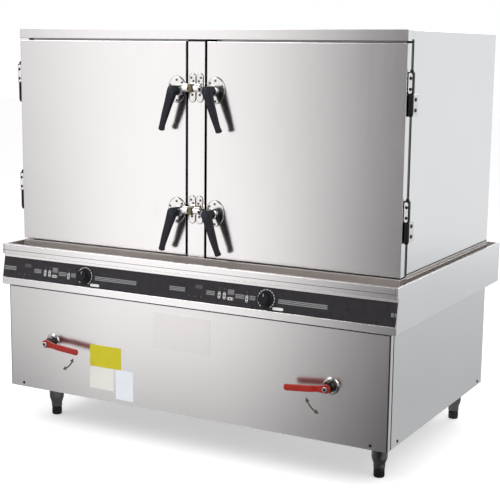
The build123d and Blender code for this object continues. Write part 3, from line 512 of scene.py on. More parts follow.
def shade(colour, factor):
    """A colour made lighter or darker."""
    return tuple(min(1.0, channel * factor) for channel in colour)


def between(place, low, high, margin=0.0):
    """1 between two limits and for a margin beyond both, and 0 elsewhere."""
    return (place - (low + high) / 2).absolute() < (high - low) / 2 + margin


def gap_painted_shade(x, y, z):
    """Painted shade: 1 in the gap round the doors, from just behind their faces to the liner's flange, on the seal's
    bead that shows along their outer sides, painted dark for the seal and for the shade of the gap, and on the folds
    that face the mullion, header and plinth, and 0 elsewhere."""
    behind = (y > DOOR_FACE + 0.0009) * (x.absolute() < CABINET_X - 0.001)
    bead = y > DOOR_BACK - 0.011
    beside = between(x.absolute(), MULLION_X, DOOR_INNER, FOLD_MARGIN) * (z < HEADER_LOW)
    above = between(z, DOOR_TOP, HEADER_LOW, FOLD_MARGIN)
    below = between(z, PLINTH_TOP, DOOR_LOW, FOLD_MARGIN)
    return (behind + bead + beside + above + below) * (y < FLANGE_FRONT) * (z < HEADER_LOW + 0.006) > 0


def fold_shade_line(_, y, z):
    """Painted shade: 1 on the thin fold along the lower part of the front lip, where shade falls in the crease, and 0
    elsewhere.
    """
    return (y < FASCIA_FACE + 0.001) * between(z, FASCIA_LOW + 0.0085, FASCIA_LOW + 0.0099)


def cover_shade_lines(x, y, z):
    """Painted shade: 1 on the seam along the top of the base covers, in the overhang's shadow, and on the two folds
    at their corners, and 0 elsewhere.
    """
    corner = (x.absolute() > BASE_HIGH.x - 0.0025) * (y < BASE_LOW.y + 0.007)
    fold = (x.absolute() > BASE_HIGH.x - 0.0005) * between(y, BASE_LOW.y + 0.0255, BASE_LOW.y + 0.0325)
    return (z > BASE_HIGH.z - 0.0068) + corner + fold > 0


def plinth_shade_line(_x, _y, z):
    """Painted shade: 1 on the top edge of the plinth, in the shade under the doors, and 0 elsewhere."""
    return between(z, PLINTH_TOP - 0.004, PLINTH_TOP + 0.001)


def frame_painted_shade(_x, y, _z):
    """Painted shade: 1 on the front of the frame, behind the seams of the covers, where the seams lie in shade, and 0
    elsewhere.
    """
    return y < BASE_LOW.y + 0.06


def rim_painted_shade(x, y, _):
    """Painted shade: 1 on the strips of a flange or pan that lie outside the door seals, where the gaps are in shade,
    and 0 elsewhere.
    """
    return (y < FLANGE_FRONT) * ((x.absolute() > CABINET_X - 0.022) + (x.absolute() < 0.046))


def steel(name, tone, roughness, brushing, stretch=(700, 700, 5), waves=0.06, marks=0.25, metal=1.0,
          painted_shade=None, contrast=1.0):
    """Sheet steel: fine grain lines along one axis, broad clouds in tone and gloss, faint handling marks and the
    shallow waves of a thin sheet. A painted shade function paints shade into the colour in the gaps, seams and folds
    where shade falls."""
    finish = Finish(name, Metallic=metal)
    grain = finish.noise(1.0, stretch, 2.0)
    clouds = finish.noise(2.2, detail=4.0)
    smears = finish.noise(9.0, (1, 1, 0.45), 6.0, 0.7)
    worn = finish.ramp(smears, ((0.0, 0.0), (0.56, 0.0), (0.72, 1.0), (1.0, 1.0)))
    colour = finish.tones(grain * 0.35 + clouds * 0.65, tone, 1 - 0.07 * contrast, 1 + 0.05 * contrast)
    # Painted shade: where the mask is 1, the colour turns to the painted shade colour
    if painted_shade:
        colour = finish.mix(painted_shade(*finish.axes()), colour, PAINTED_SHADE)
    edges = finish.make("ShaderNodeBevel", {"samples": 4}, {"Radius": 0.0028})
    sheet = finish.bump(finish.noise(3.1, (1, 1, 0.6), 1.0), waves, 0.004, Normal=edges)
    gloss = roughness + (grain - 0.5) * 0.1 + (clouds - 0.5) * 0.08 + worn * (marks * 0.12)
    return finish.skin(colour, gloss, finish.bump(grain, brushing, 0.0002, Normal=sheet))


def black_coat(name, colour, roughness=0.34):
    """Black coated metal or plastic: fine orange peel, dust in the hollows and polished high spots."""
    finish = Finish(name, Specular_IOR_Level=0.22)
    peel = finish.noise(900.0, detail=2.0)
    patches = finish.noise(40.0, detail=4.0)
    gloss = roughness + (patches - 0.5) * 0.16 + (peel - 0.5) * 0.08
    return finish.skin(finish.tones(patches, colour, 0.75, 1.45), gloss, finish.bump(peel, 0.12, 0.0003))


def red_dip(name, colour):
    """Dipped vinyl: soft gloss, slow changes of depth in the colour and a fine pebbled skin."""
    finish = Finish(name, Specular_IOR_Level=0.35, Coat_Weight=0.08)
    pebble = finish.noise(600.0)
    depth = finish.noise(35.0)
    return finish.skin(finish.tones(depth, colour, 0.78, 1.25), 0.3 + (depth - 0.5) * 0.12,
                       finish.bump(pebble, 0.1, 0.0003))


def plain(name, colour, roughness, metallic=0.0, scale=60.0, spread=0.15, grain=0.08):
    """A finish with soft mottling in colour and gloss and a fine grain."""
    finish = Finish(name, Metallic=metallic)
    mottle = finish.noise(scale, detail=5.0)
    fine = finish.noise(scale * 14, detail=2.0)
    gloss = roughness + (mottle - 0.5) * 0.14 + (fine - 0.5) * 0.05
    return finish.skin(finish.tones(mottle, colour, 1 - spread, 1 + spread), gloss,
                       finish.bump(fine, grain, 0.0004))


def wool(name, colour):
    """Mineral wool: matted fibres from two stretched noises and a deep soft bump."""
    finish = Finish(name)
    along = finish.noise(120.0, (1, 0.15, 1), 5.0, 0.7)
    across = finish.noise(150.0, (0.2, 1, 1), 5.0, 0.7)
    fibres = along * 0.5 + across * 0.5
    return finish.skin(finish.tones(fibres, colour, 0.6, 1.2), 0.95, finish.bump(fibres, 0.5, 0.004))


def winding(name, colour, middle_x, middle_y, pitch=0.0042):
    """A flat coil: rings from the sine of the distance to its own middle."""
    finish = Finish(name, Metallic=1.0)
    x, y, _ = finish.axes()
    across = x.absolute() - middle_x
    along = y - middle_y
    distance = (across * across + along * along).power(0.5)
    turns = (distance * (2 * pi / pitch)).sine() * 0.5 + 0.5
    return finish.skin(finish.tones(turns, colour, 0.35, 1.15), 0.3 + (1 - turns) * 0.25,
                       finish.bump(turns, 0.6, 0.0012))


def fixings(name):
    """The finishes of the gasket under a plate, a dark sheet whose rim paints the plate's contact shadow, and of the
    plate's screws.
    """
    return (plain(f"{name} gasket", RUBBER, 0.55, 0.0, 90),
            plain(f"{name} screw", (0.2, 0.19, 0.18), 0.32, 1.0, 200))


# Operators

class SheetOperator(bpy.types.Operator):
    """Finishes the casing, the doors and everything inside that keeps its CAD shape"""
    bl_idname = "steamer.sheets"
    bl_label = "Casing and inner parts"

    def execute(self, context):
        settings = context.scene.steamer_steel
        tone, inner, rough, brushing = settings.tone, settings.inner_tone, settings.roughness, settings.brushing
        low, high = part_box("induction_coils")
        coil_radius = (high.y - low.y) / 2
        finishes = {
            steel("brushed casing", tone, rough, brushing): ("back_panel",),
            # The front and the doors carry painted shade in the gaps round the doors
            steel("brushed front", tone, rough, brushing, painted_shade=gap_painted_shade): (
                "top_cover", "mullion", "side_panels"),
            steel("brushed doors", tone, rough * 1.05, brushing, waves=0.05, painted_shade=gap_painted_shade): (
                "left_door_skin", "right_door_skin"),
            # The rim and the waist panels carry a painted shade line in the fold of the lip
            steel("brushed rim", shade(tone, 1.05), rough * 1.15, brushing, (5, 700, 700), painted_shade=fold_shade_line): (
                "rim_fascia", "waist_panels"),
            # The gutter and the plinth carry a painted shade line under the doors
            steel("satin gutter", (0.66, 0.625, 0.6), 0.3, 0.08, (3, 160, 160), 0.02, 0.9, 0.8,
                  plinth_shade_line, 2.2): ("gutter_tray", "plinth"),
            # The base covers carry painted shade under the overhang and in their corner seams
            steel("brushed base", shade(tone, 0.96), rough * 1.3, brushing * 0.6, painted_shade=cover_shade_lines): (
                "base_front_panel", "base_side_panels", "base_back_panel"),
            # The liners, racks, tanks and pans carry painted shade on the strips outside the door seals
            steel("satin liner", inner, 0.3, 0.05, (5, 500, 500), marks=0.6, painted_shade=rim_painted_shade): (
                "chamber_liners", "tray_racks", "water_tanks", "left_door_pan", "right_door_pan"),
            # The frame carries painted shade on its front behind the seams
            steel("mill steel", shade(inner, 0.5), 0.46, 0.12, (60, 60, 60), marks=1.0, painted_shade=frame_painted_shade): (
                "base_frame",),
            wool("mineral wool", (0.62, 0.56, 0.36)): ("insulation_jacket", "left_door_core", "right_door_core"),
            plain("silicone seal", RUBBER, 0.6): ("left_door_gasket", "right_door_gasket"),
            plain("cast module case", (0.55, 0.56, 0.58), 0.42, 1.0, 30): ("power_modules",),
            plain("drawn brass", (0.7, 0.55, 0.28), 0.3, 1.0, 45): ("feed_lines",),
            plain("valve bronze", (0.1, 0.085, 0.075), 0.34, 1.0, 45): ("drain_lines",),
            plain("tongue steel", (0.34, 0.34, 0.36), 0.36, 1.0, 90): tuple(
                f"{level}_{side}_tongue" for level in LEVELS for side in SIDES),
            winding("wound copper", (0.72, 0.36, 0.18), high.x - coil_radius, low.y + coil_radius): (
                "induction_coils",),
        }
        for material, nodes in finishes.items():
            for node in nodes:
                slots = frame["nodes"][node].data.materials
                slots.clear()
                slots.append(material)
        return {"FINISHED"}


class LatchOperator(bpy.types.Operator):
    """Makes the four latch levers with their base plates"""
    bl_idname = "steamer.latches"
    bl_label = "Latches"

    def lever(self, seat, settings):
        """A bar whose width and depth follow the lever's length, with a boss behind its pivot."""
        head, grip, end = settings.hub_width / 2, settings.grip_width, 0.12
        along = np.concatenate([-head * np.cos(np.linspace(0, pi / 2, 9)), np.linspace(0.004, end, 22),
                                end + (settings.length - end) * np.sin(np.linspace(0.2, pi / 2, 8))])
        width = np.interp(along, (0.0, 0.012, 0.045, 0.118, 0.129, 0.14),
                          (2 * head, 0.0315, 0.026, grip, grip, grip * 1.18))
        width = np.where(along < 0, 2 * np.sqrt(np.maximum(head ** 2 - along ** 2, 1e-8)), width)
        width = width * round_end((settings.length - along) / 0.006, 0.04)
        back = smooth_steps((-head, 0.016, 0.06, 0.118, 0.132, 0.14), along,
                            (0.034, 0.034, 0.0365, 0.0385, 0.0345, 0.0345))
        front = smooth_steps((-head, 0.01, 0.07, 0.14), along, (0.0505, 0.052, 0.0515, 0.0468))
        middle = np.stack([np.zeros_like(along), -along, (front + back) / 2], -1)
        return Surface().bar(
            seat, middle, seat.right, np.maximum(width, 0.0015), front - back, 6.0, 48).turned(
            seat.moved(out=0.0145), ((16.5, 0), (16.5, 4), (15, 10), (16, 21.5)), 40, 2)

    def execute(self, context):
        settings = context.scene.steamer_latch
        coat = black_coat("lever coat", settings.colour)
        cap_coat = black_coat("cap coat", (0.02, 0.022, 0.032), 0.26)
        bright = plain("polished fitting", (0.8, 0.79, 0.78), 0.16, 1.0, 70, 0.1, 0.04)
        dark, screw_steel = fixings("plate")
        radius = settings.cap_radius / MM
        for name, side in SIDES.items():
            plates, gaskets, screws = (Surface() for _ in range(3))
            for level in LEVELS:
                pivot = Seat(JOINTS[f"{level}_{name}_latch_turn"]["pos_m"])
                plate = pivot.moved(side * 0.008, 0.002)
                plates.plate(plate, ellipse(0.068, 0.084, 64), 0.004, 0.0016)
                # Painted shadow: a dark sheet a little larger than the plate, whose rim stands for its contact shadow
                gaskets.plate(plate, ellipse(0.071, 0.087, 64), 0.0012, 0.0004)
                plates.turned(pivot.moved(out=0.004), ((18, 0), (18, 6), (16.5, 9.5), (2, 10)), 48, 2)
                for outward, up in ((0, 31), (25, 14), (0, -35), (-20, 23)):
                    screw_head(screws, plate.moved(side * outward * MM, up * MM, 0.004))
                body, replaced = f"{level}_{name}_latch", f"{level}_{name}_lever"
                self.lever(pivot.turned(side * radians(19)), settings).build(
                    f"{level}_{name}_grip", body, coat, "black_levers", replaced)
                Surface().turned(pivot.moved(out=0.0505), (
                    (radius, 0), (radius, 1.3), (radius * 0.82, 2.5), (radius * 0.1, 2.6)), 36, 1).build(
                    f"{level}_{name}_cap", body, cap_coat, "black_levers", replaced)
            door = f"{name}_door"
            plates.build(f"{name}_latch_plates", door, bright, "bright_fittings", f"{name}_latch_bases")
            gaskets.build(f"{name}_latch_gaskets", door, dark, "gaskets")
            screws.build(f"{name}_latch_screws", door, screw_steel, "screws")
        return {"FINISHED"}


class KeeperOperator(bpy.types.Operator):
    """Makes the keepers on the mullion and their rollers"""
    bl_idname = "steamer.keepers"
    bl_label = "Keepers"

    def execute(self, context):
        bright = plain("bright keeper", (0.8, 0.79, 0.77), 0.18, 1.0, 70, 0.1, 0.04)
        bronze = plain("bronze block", (0.2, 0.17, 0.11), 0.34, 1.0, 120, 0.25, 0.1)
        roller_steel = plain("turned roller", (0.86, 0.85, 0.84), 0.12, 1.0, 200, 0.06, 0.03)
        dark, screw_steel = fixings("keeper")
        plates, blocks, gaskets, screws = (Surface() for _ in range(4))
        for level in LEVELS:
            pin = Seat(JOINTS[f"{level}_roller_spin"]["pos_m"]).origin
            length = DOOR_FACE - pin[1] + 0.013
            rollers = Surface()
            for side in (-1, 1):
                plate = Seat((side * 0.014, DOOR_FACE, pin[2]))
                plates.plate(plate, rounded(0.024, 0.092, 0.012, 10), 0.0025, 0.001)
                # Painted shadow: a dark sheet a little larger than the plate, whose rim stands for its contact shadow
                gaskets.plate(plate, rounded(0.0265, 0.0945, 0.0132, 10), 0.001, 0.0003)
                for outward, up in ((4, 32), (-4, 21), (0, -23)):
                    screw_head(screws, plate.moved(side * outward * MM, up * MM, 0.0025))
                end = Seat(pin, (side, 0, 0))
                plates.turned(end.moved(out=0.01), ((5, 0), (5, 21.5), (3.5, 22.5), (0.5, 22.5)), 28, 0.8)
                rollers.spun(end.moved(out=0.0105), (
                    (5.2, 0), (12.2, 0), (12.9, 1.2), (12.9, 20), (11.8, 21.4), (5.2, 21.4)), 48, 1)
            outline = ellipse(0.02, length, 96, 0.35)
            outline[:, 0] *= 1 - 0.035 * (1 - np.cos(12 * circle_angles(96))) / 2
            blocks.pillow(Seat((0, DOOR_FACE - length / 2, pin[2] - 0.013), UP, BACK), outline, 0.026, 0.0012)
            rollers.build(f"{level}_rollers", f"{level}_rollers", roller_steel, "bright_fittings",
                          f"{level}_keeper_rollers")
        plates.build("keeper_plates", "cabinet", bright, "bright_fittings", "keeper_brackets")
        blocks.build("keeper_blocks", "cabinet", bronze, "bright_fittings", "keeper_brackets")
        gaskets.build("keeper_gaskets", "cabinet", dark, "gaskets")
        screws.build("keeper_screws", "cabinet", screw_steel, "screws")
        return {"FINISHED"}


class HingeOperator(bpy.types.Operator):
    """Makes the hinges: a black block with a bright insert above, a black barrel and leaf below"""
    bl_idname = "steamer.hinges"
    bl_label = "Hinges"

    splits = (DOOR_LOW + 0.168, DOOR_TOP - 0.15)
    leaf_back = DOOR_FACE + 0.084
    flange_back = DOOR_FACE + 0.039

    def execute(self, context):
        settings = context.scene.steamer_hinge
        black = black_coat("hinge coat", (0.008, 0.008, 0.009), 0.3)
        bright = plain("hinge insert", (0.86, 0.86, 0.86), 0.24, 0.35, 80, 0.08, 0.04)
        dark = plain("dark bolt", (0.045, 0.045, 0.05), 0.34, 1.0, 120)
        leaf_steel = plain("hinge leaf", (0.74, 0.73, 0.74), 0.26, 1.0, 60, 0.1)
        axis_x, axis_y, _ = JOINTS["right_door_hinge"]["pos_m"]
        radius = settings.barrel_radius / MM
        barrels, leaves, bolts = (Surface() for _ in range(3))
        for name, side in SIDES.items():
            blocks, inserts, heads = (Surface() for _ in range(3))

            def on_side(y, z, out=0.0):
                """A seat on the side of the cabinet."""
                return Seat((side * (CABINET_X + out), y, z), (side, 0, 0))

            for split in self.splits:
                pin = Seat((side * axis_x, axis_y, split), UP, BACK)
                barrels.turned(pin.moved(out=-0.066), (
                    (2, 0), (5.2, 0.6), (radius, 9), (radius, 66), (4, 66), (4, 132.5)), 36, 3)
                barrels.turned(pin.moved(out=0.0668), ((5.8, 0), (5.8, 4), (3.2, 8.2), (0.8, 8.8)), 32, 2)
                for front, *rest in ((axis_y, 0.003, 0.0008, 0.0025), (BODY_FRONT, 0.0026, 0.0002)):
                    leaf = on_side((front + self.leaf_back) / 2, split - 0.033)
                    leaves.plate(leaf, rounded(self.leaf_back - front, 0.0655, 0.004), *rest)
                for step in (0.016, 0.048):
                    bolt = on_side(self.leaf_back - 0.021, split - step, 0.0055)
                    bolts.plate(bolt, hexagon(0.0066, 0.0012), 0.0024, 0.0007)
                    screw_head(heads, Seat((side * axis_x, axis_y - 0.008, split + step)), 5, 2.2)
                block = Seat((side * (CABINET_X + 0.009), axis_y, split + 0.0003), UP, BACK)
                blocks.pillow(block, rounded(0.018, 0.016, 0.0035), 0.066, 0.0022)
                flange = on_side((axis_y + self.flange_back) / 2, split + 0.0333)
                blocks.plate(flange, rounded(self.flange_back - axis_y, 0.0658, 0.004), 0.003, 0.0008)
                face = Seat((side * (CABINET_X + 0.0088), axis_y - 0.0078, split + 0.0333))
                inserts.plate(face, rounded(settings.insert_width, settings.insert_height, 0.005), 0.0008, 0.0004)
            for surface, piece, finish, slot in (
                    (blocks, "blocks", black, "dark_hinges"), (inserts, "inserts", bright, "door_hinges"),
                    (heads, "screws", dark, "door_hinges")):
                surface.build(f"{name}_hinge_{piece}", f"{name}_door", finish, slot, f"{name}_door_hinge_leaves")
        barrels.build("hinge_barrels", "cabinet", black, "dark_hinges", "cabinet_hinge_leaves")
        leaves.build("hinge_leaves", "cabinet", leaf_steel, "door_hinges", "cabinet_hinge_leaves")
        bolts.build("hinge_bolts", "cabinet", dark, "screws", "body_screws")
        return {"FINISHED"}


class ScrewOperator(bpy.types.Operator):
    """Makes the small screws that hold the base covers"""
    bl_idname = "steamer.screws"
    bl_label = "Casing screws"

    def execute(self, context):
        heads = Surface()
        level = BASE_LOW.z + 0.0135
        for side in (-1, 1):
            x = side * (BASE_HIGH.x - 0.055)
            screw_head(heads, Seat((x, BASE_LOW.y, level)), 5, 2.5)
            screw_head(heads, Seat((x, BASE_BACK, level), BACK), 5, 2.5)
            for y in (BASE_LOW.y + 0.084, BASE_BACK - 0.045):
                screw_head(heads, Seat((side * BASE_HIGH.x, y, level), (side, 0, 0)), 5, 2.5)
        heads.build("casing_screws", "cabinet", plain("casing screw", (0.035, 0.034, 0.034), 0.36, 1.0, 150),
                    "screws", "body_screws")
        return {"FINISHED"}


class DialOperator(bpy.types.Operator):
    """Makes the two dials with their rings of marks"""
    bl_idname = "steamer.dials"
    bl_label = "Dials"

    foot = 0.0015
    mark_count = 15
    knob_profile = (
        (24, 0, 0), (24.4, 0.8, 0), (24.4, 3.6, 0), (22.8, 5.2, 0.4), (21.4, 7, 1), (19.9, 19, 1),
        (19.3, 20.5, 0.8), (18.6, 21.4, 0.2), (17.8, 21.8, 0), (17.2, 21.2, 0), (17, 20.6, 0))

    def execute(self, context):
        black = black_coat("dial black", (0.008, 0.008, 0.01), 0.36)
        face_coat = black_coat("dial face", (0.008, 0.008, 0.011), 0.42)
        ring_coat = black_coat("dial ring", (0.014, 0.013, 0.016), 0.3)
        white = plain("dial print", (0.62, 0.62, 0.62), 0.5, 0.0, 80, 0.1)
        flutes, foot = context.scene.steamer_panel.flutes, self.foot
        rings, marks = Surface(), Surface()
        for name in SIDES:
            joint = JOINTS[f"{name}_dial_turn"]
            seat = Seat(joint["pos_m"], -np.asarray(joint["axis"], float))
            rings.plate(seat, ellipse(0.0636, 0.0636, 64), 0.0022, 0.0008, foot)
            for mark in range(self.mark_count):
                start = radians(-60 + 20 * mark) + 0.04
                marks.arc(seat, (0.028, 0.0306), foot + 0.0019, foot + 0.0025, 0.0002, 8, start, start + 0.23)
            knob = Surface().turned(
                seat.moved(out=foot + 0.0035), self.knob_profile, 168, flutes=flutes, depth=1.2).turned(
                seat.moved(out=-0.012), ((3, 0), (3, 17.5)), 24)
            face = Surface().turned(seat.moved(out=foot + 0.024), (
                (16.9, 0), (16.9, 0.4), (15.8, 0.7), (1, 0.3)), 64, 0.6)
            pointer = Surface().plate(seat.moved(0, 0.0115, foot + 0.0243), rounded(0.0016, 0.009, 0.0007),
                                      0.0005, 0.0002)
            for surface, piece, finish in ((knob, "dial", black), (face, "dial_face", face_coat),
                                           (pointer, "dial_pointer", white)):
                surface.build(f"{name}_{piece}", f"{name}_dial", finish, "knob_black", f"{name}_knob")
        rings.build("dial_rings", "cabinet", ring_coat, "knob_rings", "knob_bezels")
        marks.build("dial_marks", "cabinet", white, "knob_rings", "knob_bezels")
        return {"FINISHED"}


class PanelOperator(bpy.types.Operator):
    """Makes the control panels with their keys, lamps, displays and printed bars"""
    bl_idname = "steamer.control_panels"
    bl_label = "Control panels"

    split = -0.051
    half_gap = 0.00015
    film_thickness = 0.0015
    # Starts and ends of the bars, places of the lamps, and places and sizes of the keys, in mm from a dial
    bar_ends = ((-360, -300), (-219, -188), (-112, -79), (-60, -39), (42, 211))
    right_bar_ends = ((419, 428), (431, 436))
    lamp_places = ((-284, -20), (-259, -20), (-237, -20), (-171, 15), (-152, 15), (-71, 14.6))
    keys = ((-171, -6.5, 9, 24), (-152, -6.5, 9, 24), (-70, -7, 9, 24), (-130, -13.5, 24, 9))
    white_field = (43, -27, 38, 9)

    def key(self, surface, seat, x, y, width, height):
        """A thin plate with round ends, and its seat and outline for what lies on it."""
        place = seat.moved(x * MM, y * MM)
        outline = rounded(width * MM, height * MM, min(width, height) / 2 * MM, 6)
        surface.plate(place, outline, 0.0004, 0.00015)
        return place, outline

    def execute(self, context):
        settings = context.scene.steamer_panel
        film = black_coat("panel film", settings.colour, 0.3)
        low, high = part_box("control_panels")
        base, greys, whites, lamps, displays, dims, centres = (Surface() for _ in range(7))
        joint = JOINTS["left_dial_turn"]
        middle = Seat((0, *joint["pos_m"][1:]), -np.asarray(joint["axis"], float))
        for start, end in ((low.x, self.split - self.half_gap), (self.split + self.half_gap, high.x)):
            base.plate(middle.moved((start + end) / 2), rounded(end - start, 0.074, 0.0008, 3),
                       self.film_thickness, 0.0004)
        for name in SIDES:
            dial = JOINTS[f"{name}_dial_turn"]["pos_m"][0]
            seat = middle.moved(dial, 0, self.film_thickness)
            edge = low.x - dial + 0.004

            def bars(surface, start, end, down, top, rows):
                """Even rows of thin bars between four limits, in millimetres from the dial."""
                start = max(start * MM, edge)
                pitch = (top - down) / rows
                for row in range(rows):
                    place = seat.moved((start + end * MM) / 2, (down + (row + 0.5) * pitch) * MM)
                    surface.plate(place, rounded(end * MM - start, pitch * 0.62 * MM, 0.0004, 3), 0.0004, 0.0001)

            for start, end in self.bar_ends:
                if end * MM > edge:
                    bars(greys, start, end, -10, 5, 3)
            if name == "right":
                for start, end in self.right_bar_ends:
                    bars(greys, start, end, -7, 5, 3)
            bars(dims, -262, -234, 2, 22, 1)
            bars(displays, -140, -117, -6, 21, 1)
            for x, y in self.lamp_places:
                if x * MM > edge:
                    lamps.turned(seat.moved(x * MM, y * MM), ((2.3, 0), (2.2, 0.6), (0.4, 1)), 16, 0.5)
            for x, y, width, height in self.keys:
                place, outline = self.key(whites, seat, x, y, width, height)
                centres.plate(place, inset(outline, 0.0018), 0.0006, 0.00015)
                for step in (-1, 1):
                    dot = place.moved(step * max(width - 14, 0) / 2 * MM, step * max(height - 14, 0) / 2 * MM)
                    whites.plate(dot, ellipse(0.0044, 0.0044, 16), 0.0008, 0.0001)
            self.key(whites, seat, *self.white_field)
        for surface, piece, finish in (
                (base, "films", film),
                (greys, "bars", plain("printed grey", settings.print_grey, 0.55, 0.0, 120, 0.12)),
                (whites, "keys", plain("printed white", (0.78, 0.78, 0.77), 0.5, 0.0, 120, 0.08)),
                (lamps, "lamps", plain("lamp lens", (0.1, 0.1, 0.1), 0.25, 0.0, 60, 0.1)),
                (displays, "displays", plain("display glass", (0.17, 0.165, 0.17), 0.25, 0.0, 60, 0.15)),
                (dims, "dim_displays", plain("dim glass", (0.06, 0.054, 0.056), 0.25, 0.0, 60, 0.15)),
                (centres, "key_centres", film)):
            surface.build(f"panel_{piece}", "cabinet", finish, "printed_panel", "control_panels")
        return {"FINISHED"}


class DrainOperator(bpy.types.Operator):
    """Makes the two red drain levers with their nuts, stems and collars"""
    bl_idname = "steamer.drains"
    bl_label = "Drain levers"

    reach = 0.142
    bend = 0.134

    def lever(self, seat, side, sleeve):
        """A cranked bar whose height and distance from the base follow its length, with a boss at its pivot."""
        along = np.concatenate([[0.01, 0.0112], np.linspace(0.0125, self.bend, 40),
                                self.bend + (self.reach - self.bend) * np.sin(np.linspace(0.15, pi / 2, 9))])
        offset = smooth_steps((0, 0.024, 0.048, 0.15), along, (-0.0085, -0.0085, -0.0036, -0.0036))
        height = smooth_steps((0, 0.012, 0.03, 0.06, 0.15), along, (0.0245, 0.0245, 0.0195, sleeve, sleeve))
        left = self.reach - along
        return Surface().bar(
            seat, np.stack([-side * along, np.zeros_like(along), offset], -1), seat.up,
            height * round_end(left / 0.009, 0.02), 0.007 * round_end(left / 0.003, 0.05), 3.4, 36).turned(
            seat.moved(out=-0.012), ((14, 0), (14, 6.2), (12.5, 7), (1, 7)), 40, 1.2)

    def execute(self, context):
        settings = context.scene.steamer_drain
        red = red_dip("red dip", settings.colour)
        bright = plain("valve steel", (0.62, 0.61, 0.61), 0.18, 1.0, 80, 0.1, 0.04)
        dark = plain("thread end", (0.06, 0.06, 0.065), 0.4, 1.0, 150)
        rings = Surface()
        for name, side in SIDES.items():
            x, _, z = JOINTS[f"{name}_drain_turn"]["pos_m"]
            body, stem = f"{name}_drain", f"{name}_valve_stem"
            seat = Seat((x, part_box(f"{name}_valve_lever")[0].y, z)).turned(side * radians(5))
            self.lever(seat, side, settings.sleeve_height).build(
                f"{name}_drain_lever", body, red, "red_levers", f"{name}_valve_lever")
            stem_low, stem_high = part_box(stem)
            length = stem_high.y - stem_low.y
            tip = Seat((x, stem_low.y, z))
            Surface().plate(tip.moved(out=-0.008), hexagon(0.0092, 0.001), 0.0065, 0.001).turned(
                tip.moved(out=-length), ((8.9, 0), (8.9, length / MM - 15.2)), 32).build(
                f"{name}_drain_nut", body, bright, "bright_fittings", stem)
            Surface().turned(tip.moved(out=-0.003), ((4.8, 0), (4.8, 2), (3.8, 2.8), (0.5, 2.8)), 28, 0.6).build(
                f"{name}_drain_stud", body, dark, "bright_fittings", stem)
            rings.spun(Seat((x, BASE_LOW.y, z)), (
                (17.4, 0), (28, 0), (27.8, 2.4), (24.5, 5.2), (20, 5.8), (17.4, 5.2)), 64, 1.6)
        rings.build("drain_collars", "cabinet", bright, "bright_fittings", "valve_escutcheons")
        return {"FINISHED"}


class MarkOperator(bpy.types.Operator):
    """Makes the turning arrows beside the drain levers and the bare plates"""
    bl_idname = "steamer.plates"
    bl_label = "Arrows and bare plates"

    arrow_radius = 0.06
    arrow_half = radians(19)
    arrow_head = np.array([(-0.0078, -0.001), (0.0078, -0.001), (0.001, 0.0125), (-0.001, 0.0125)])
    # Name, left, right, low, high, colour, roughness, metal and share of the full thickness
    plates = (
        ("yellow_plate", -0.379, -0.249, 0.256, 0.3325, None, 0.42, 0.0, 1),
        ("pale_plate", -0.38, -0.28, 0.178, 0.255, (0.78, 0.78, 0.72), 0.45, 0.0, 1),
        ("white_plate", -0.272, -0.2, 0.152, 0.256, (0.8, 0.84, 0.88), 0.4, 0.0, 1),
        ("clear_plate", -0.12, 0.103, 0.355, 0.476, (0.8, 0.785, 0.78), 0.24, 0.96, 0.5))

    def execute(self, context):
        settings = context.scene.steamer_plate
        radius, half = self.arrow_radius, self.arrow_half
        arrows = Surface()
        for name, side in SIDES.items():
            x, _, z = JOINTS[f"{name}_drain_turn"]["pos_m"]
            seat = Seat((x - side * 0.0265, BASE_LOW.y, z - 0.0355))
            middle = radians(-90 - side * 45)
            arrows.arc(seat, (radius - 0.0026, radius + 0.0026), -0.0001, 0.0003, 0.0001, 14,
                       middle - half, middle + half)
            for direction in (-1, 1):
                angle = middle + direction * half
                point = seat.moved(radius * cos(angle), radius * sin(angle))
                arrows.plate(point.turned(angle + (0 if direction > 0 else pi)), self.arrow_head, 0.0003, 0.0001)
        arrows.build("turning_arrows", "cabinet", plain("arrow ink", (0.085, 0.065, 0.045), 0.5, 0.0, 200, 0.2),
                     "outer_panels")
        for name, left, right, low, high, colour, roughness, metal, share in self.plates:
            seat = Seat(((left + right) / 2, BASE_LOW.y, (low + high) / 2))
            finish = plain(name.replace("_", " "), colour or settings.yellow, roughness, metal, 25, 0.05, 0.03)
            Surface().plate(seat, rounded(right - left, high - low, 0.0012, 4), settings.thickness * share,
                            0.0001).build(name, "cabinet", finish, "outer_panels")
        return {"FINISHED"}


class LegOperator(bpy.types.Operator):
    """Makes the legs and the levelling feet"""
    bl_idname = "steamer.legs"
    bl_label = "Legs and feet"

    foot_profile = ((15, 0), (16.8, 0.6), (18, 4), (18, 25), (17, 28.8), (6, 29.6), (6, 98.5), (5, 99.6), (0.5, 99.6))

    def execute(self, context):
        tone = context.scene.steamer_leg.tone
        tube = steel("leg tube", tone, 0.2, 0.04, (400, 400, 8))
        foot_steel = plain("foot steel", shade(tone, 0.3), 0.34, 1.0, 80)
        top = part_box("leg_tubes")[1].z - 0.003
        high = top / MM
        leg_profile = ((6.2, 30.3), (18.3, 30.3), (19, 31.2), (19.2, 44), (20, 48), (25, 62), (26, 69),
                       (26, high), (24, high), (24, 72), (6.2, 70))
        legs = Surface()
        for name in SIDES:
            for end in ("front", "rear"):
                foot_low, foot_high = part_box(f"{end}_{name}_foot")
                seat = Seat(((foot_low.x + foot_high.x) / 2, (foot_low.y + foot_high.y) / 2, 0), UP, BACK)
                legs.spun(seat, leg_profile, 56, 1.2, 4)
                legs.pillow(seat.moved(out=top), rounded(0.08, 0.08, 0.004), 0.003, 0.0006)
                Surface().turned(seat, self.foot_profile, 48, 1.2).build(
                    f"{end}_{name}_levelling_foot", f"{end}_{name}_level_foot", foot_steel, "leg_steel",
                    f"{end}_{name}_foot")
        legs.build("leg_set", "cabinet", tube, "leg_steel", "leg_tubes")
        return {"FINISHED"}


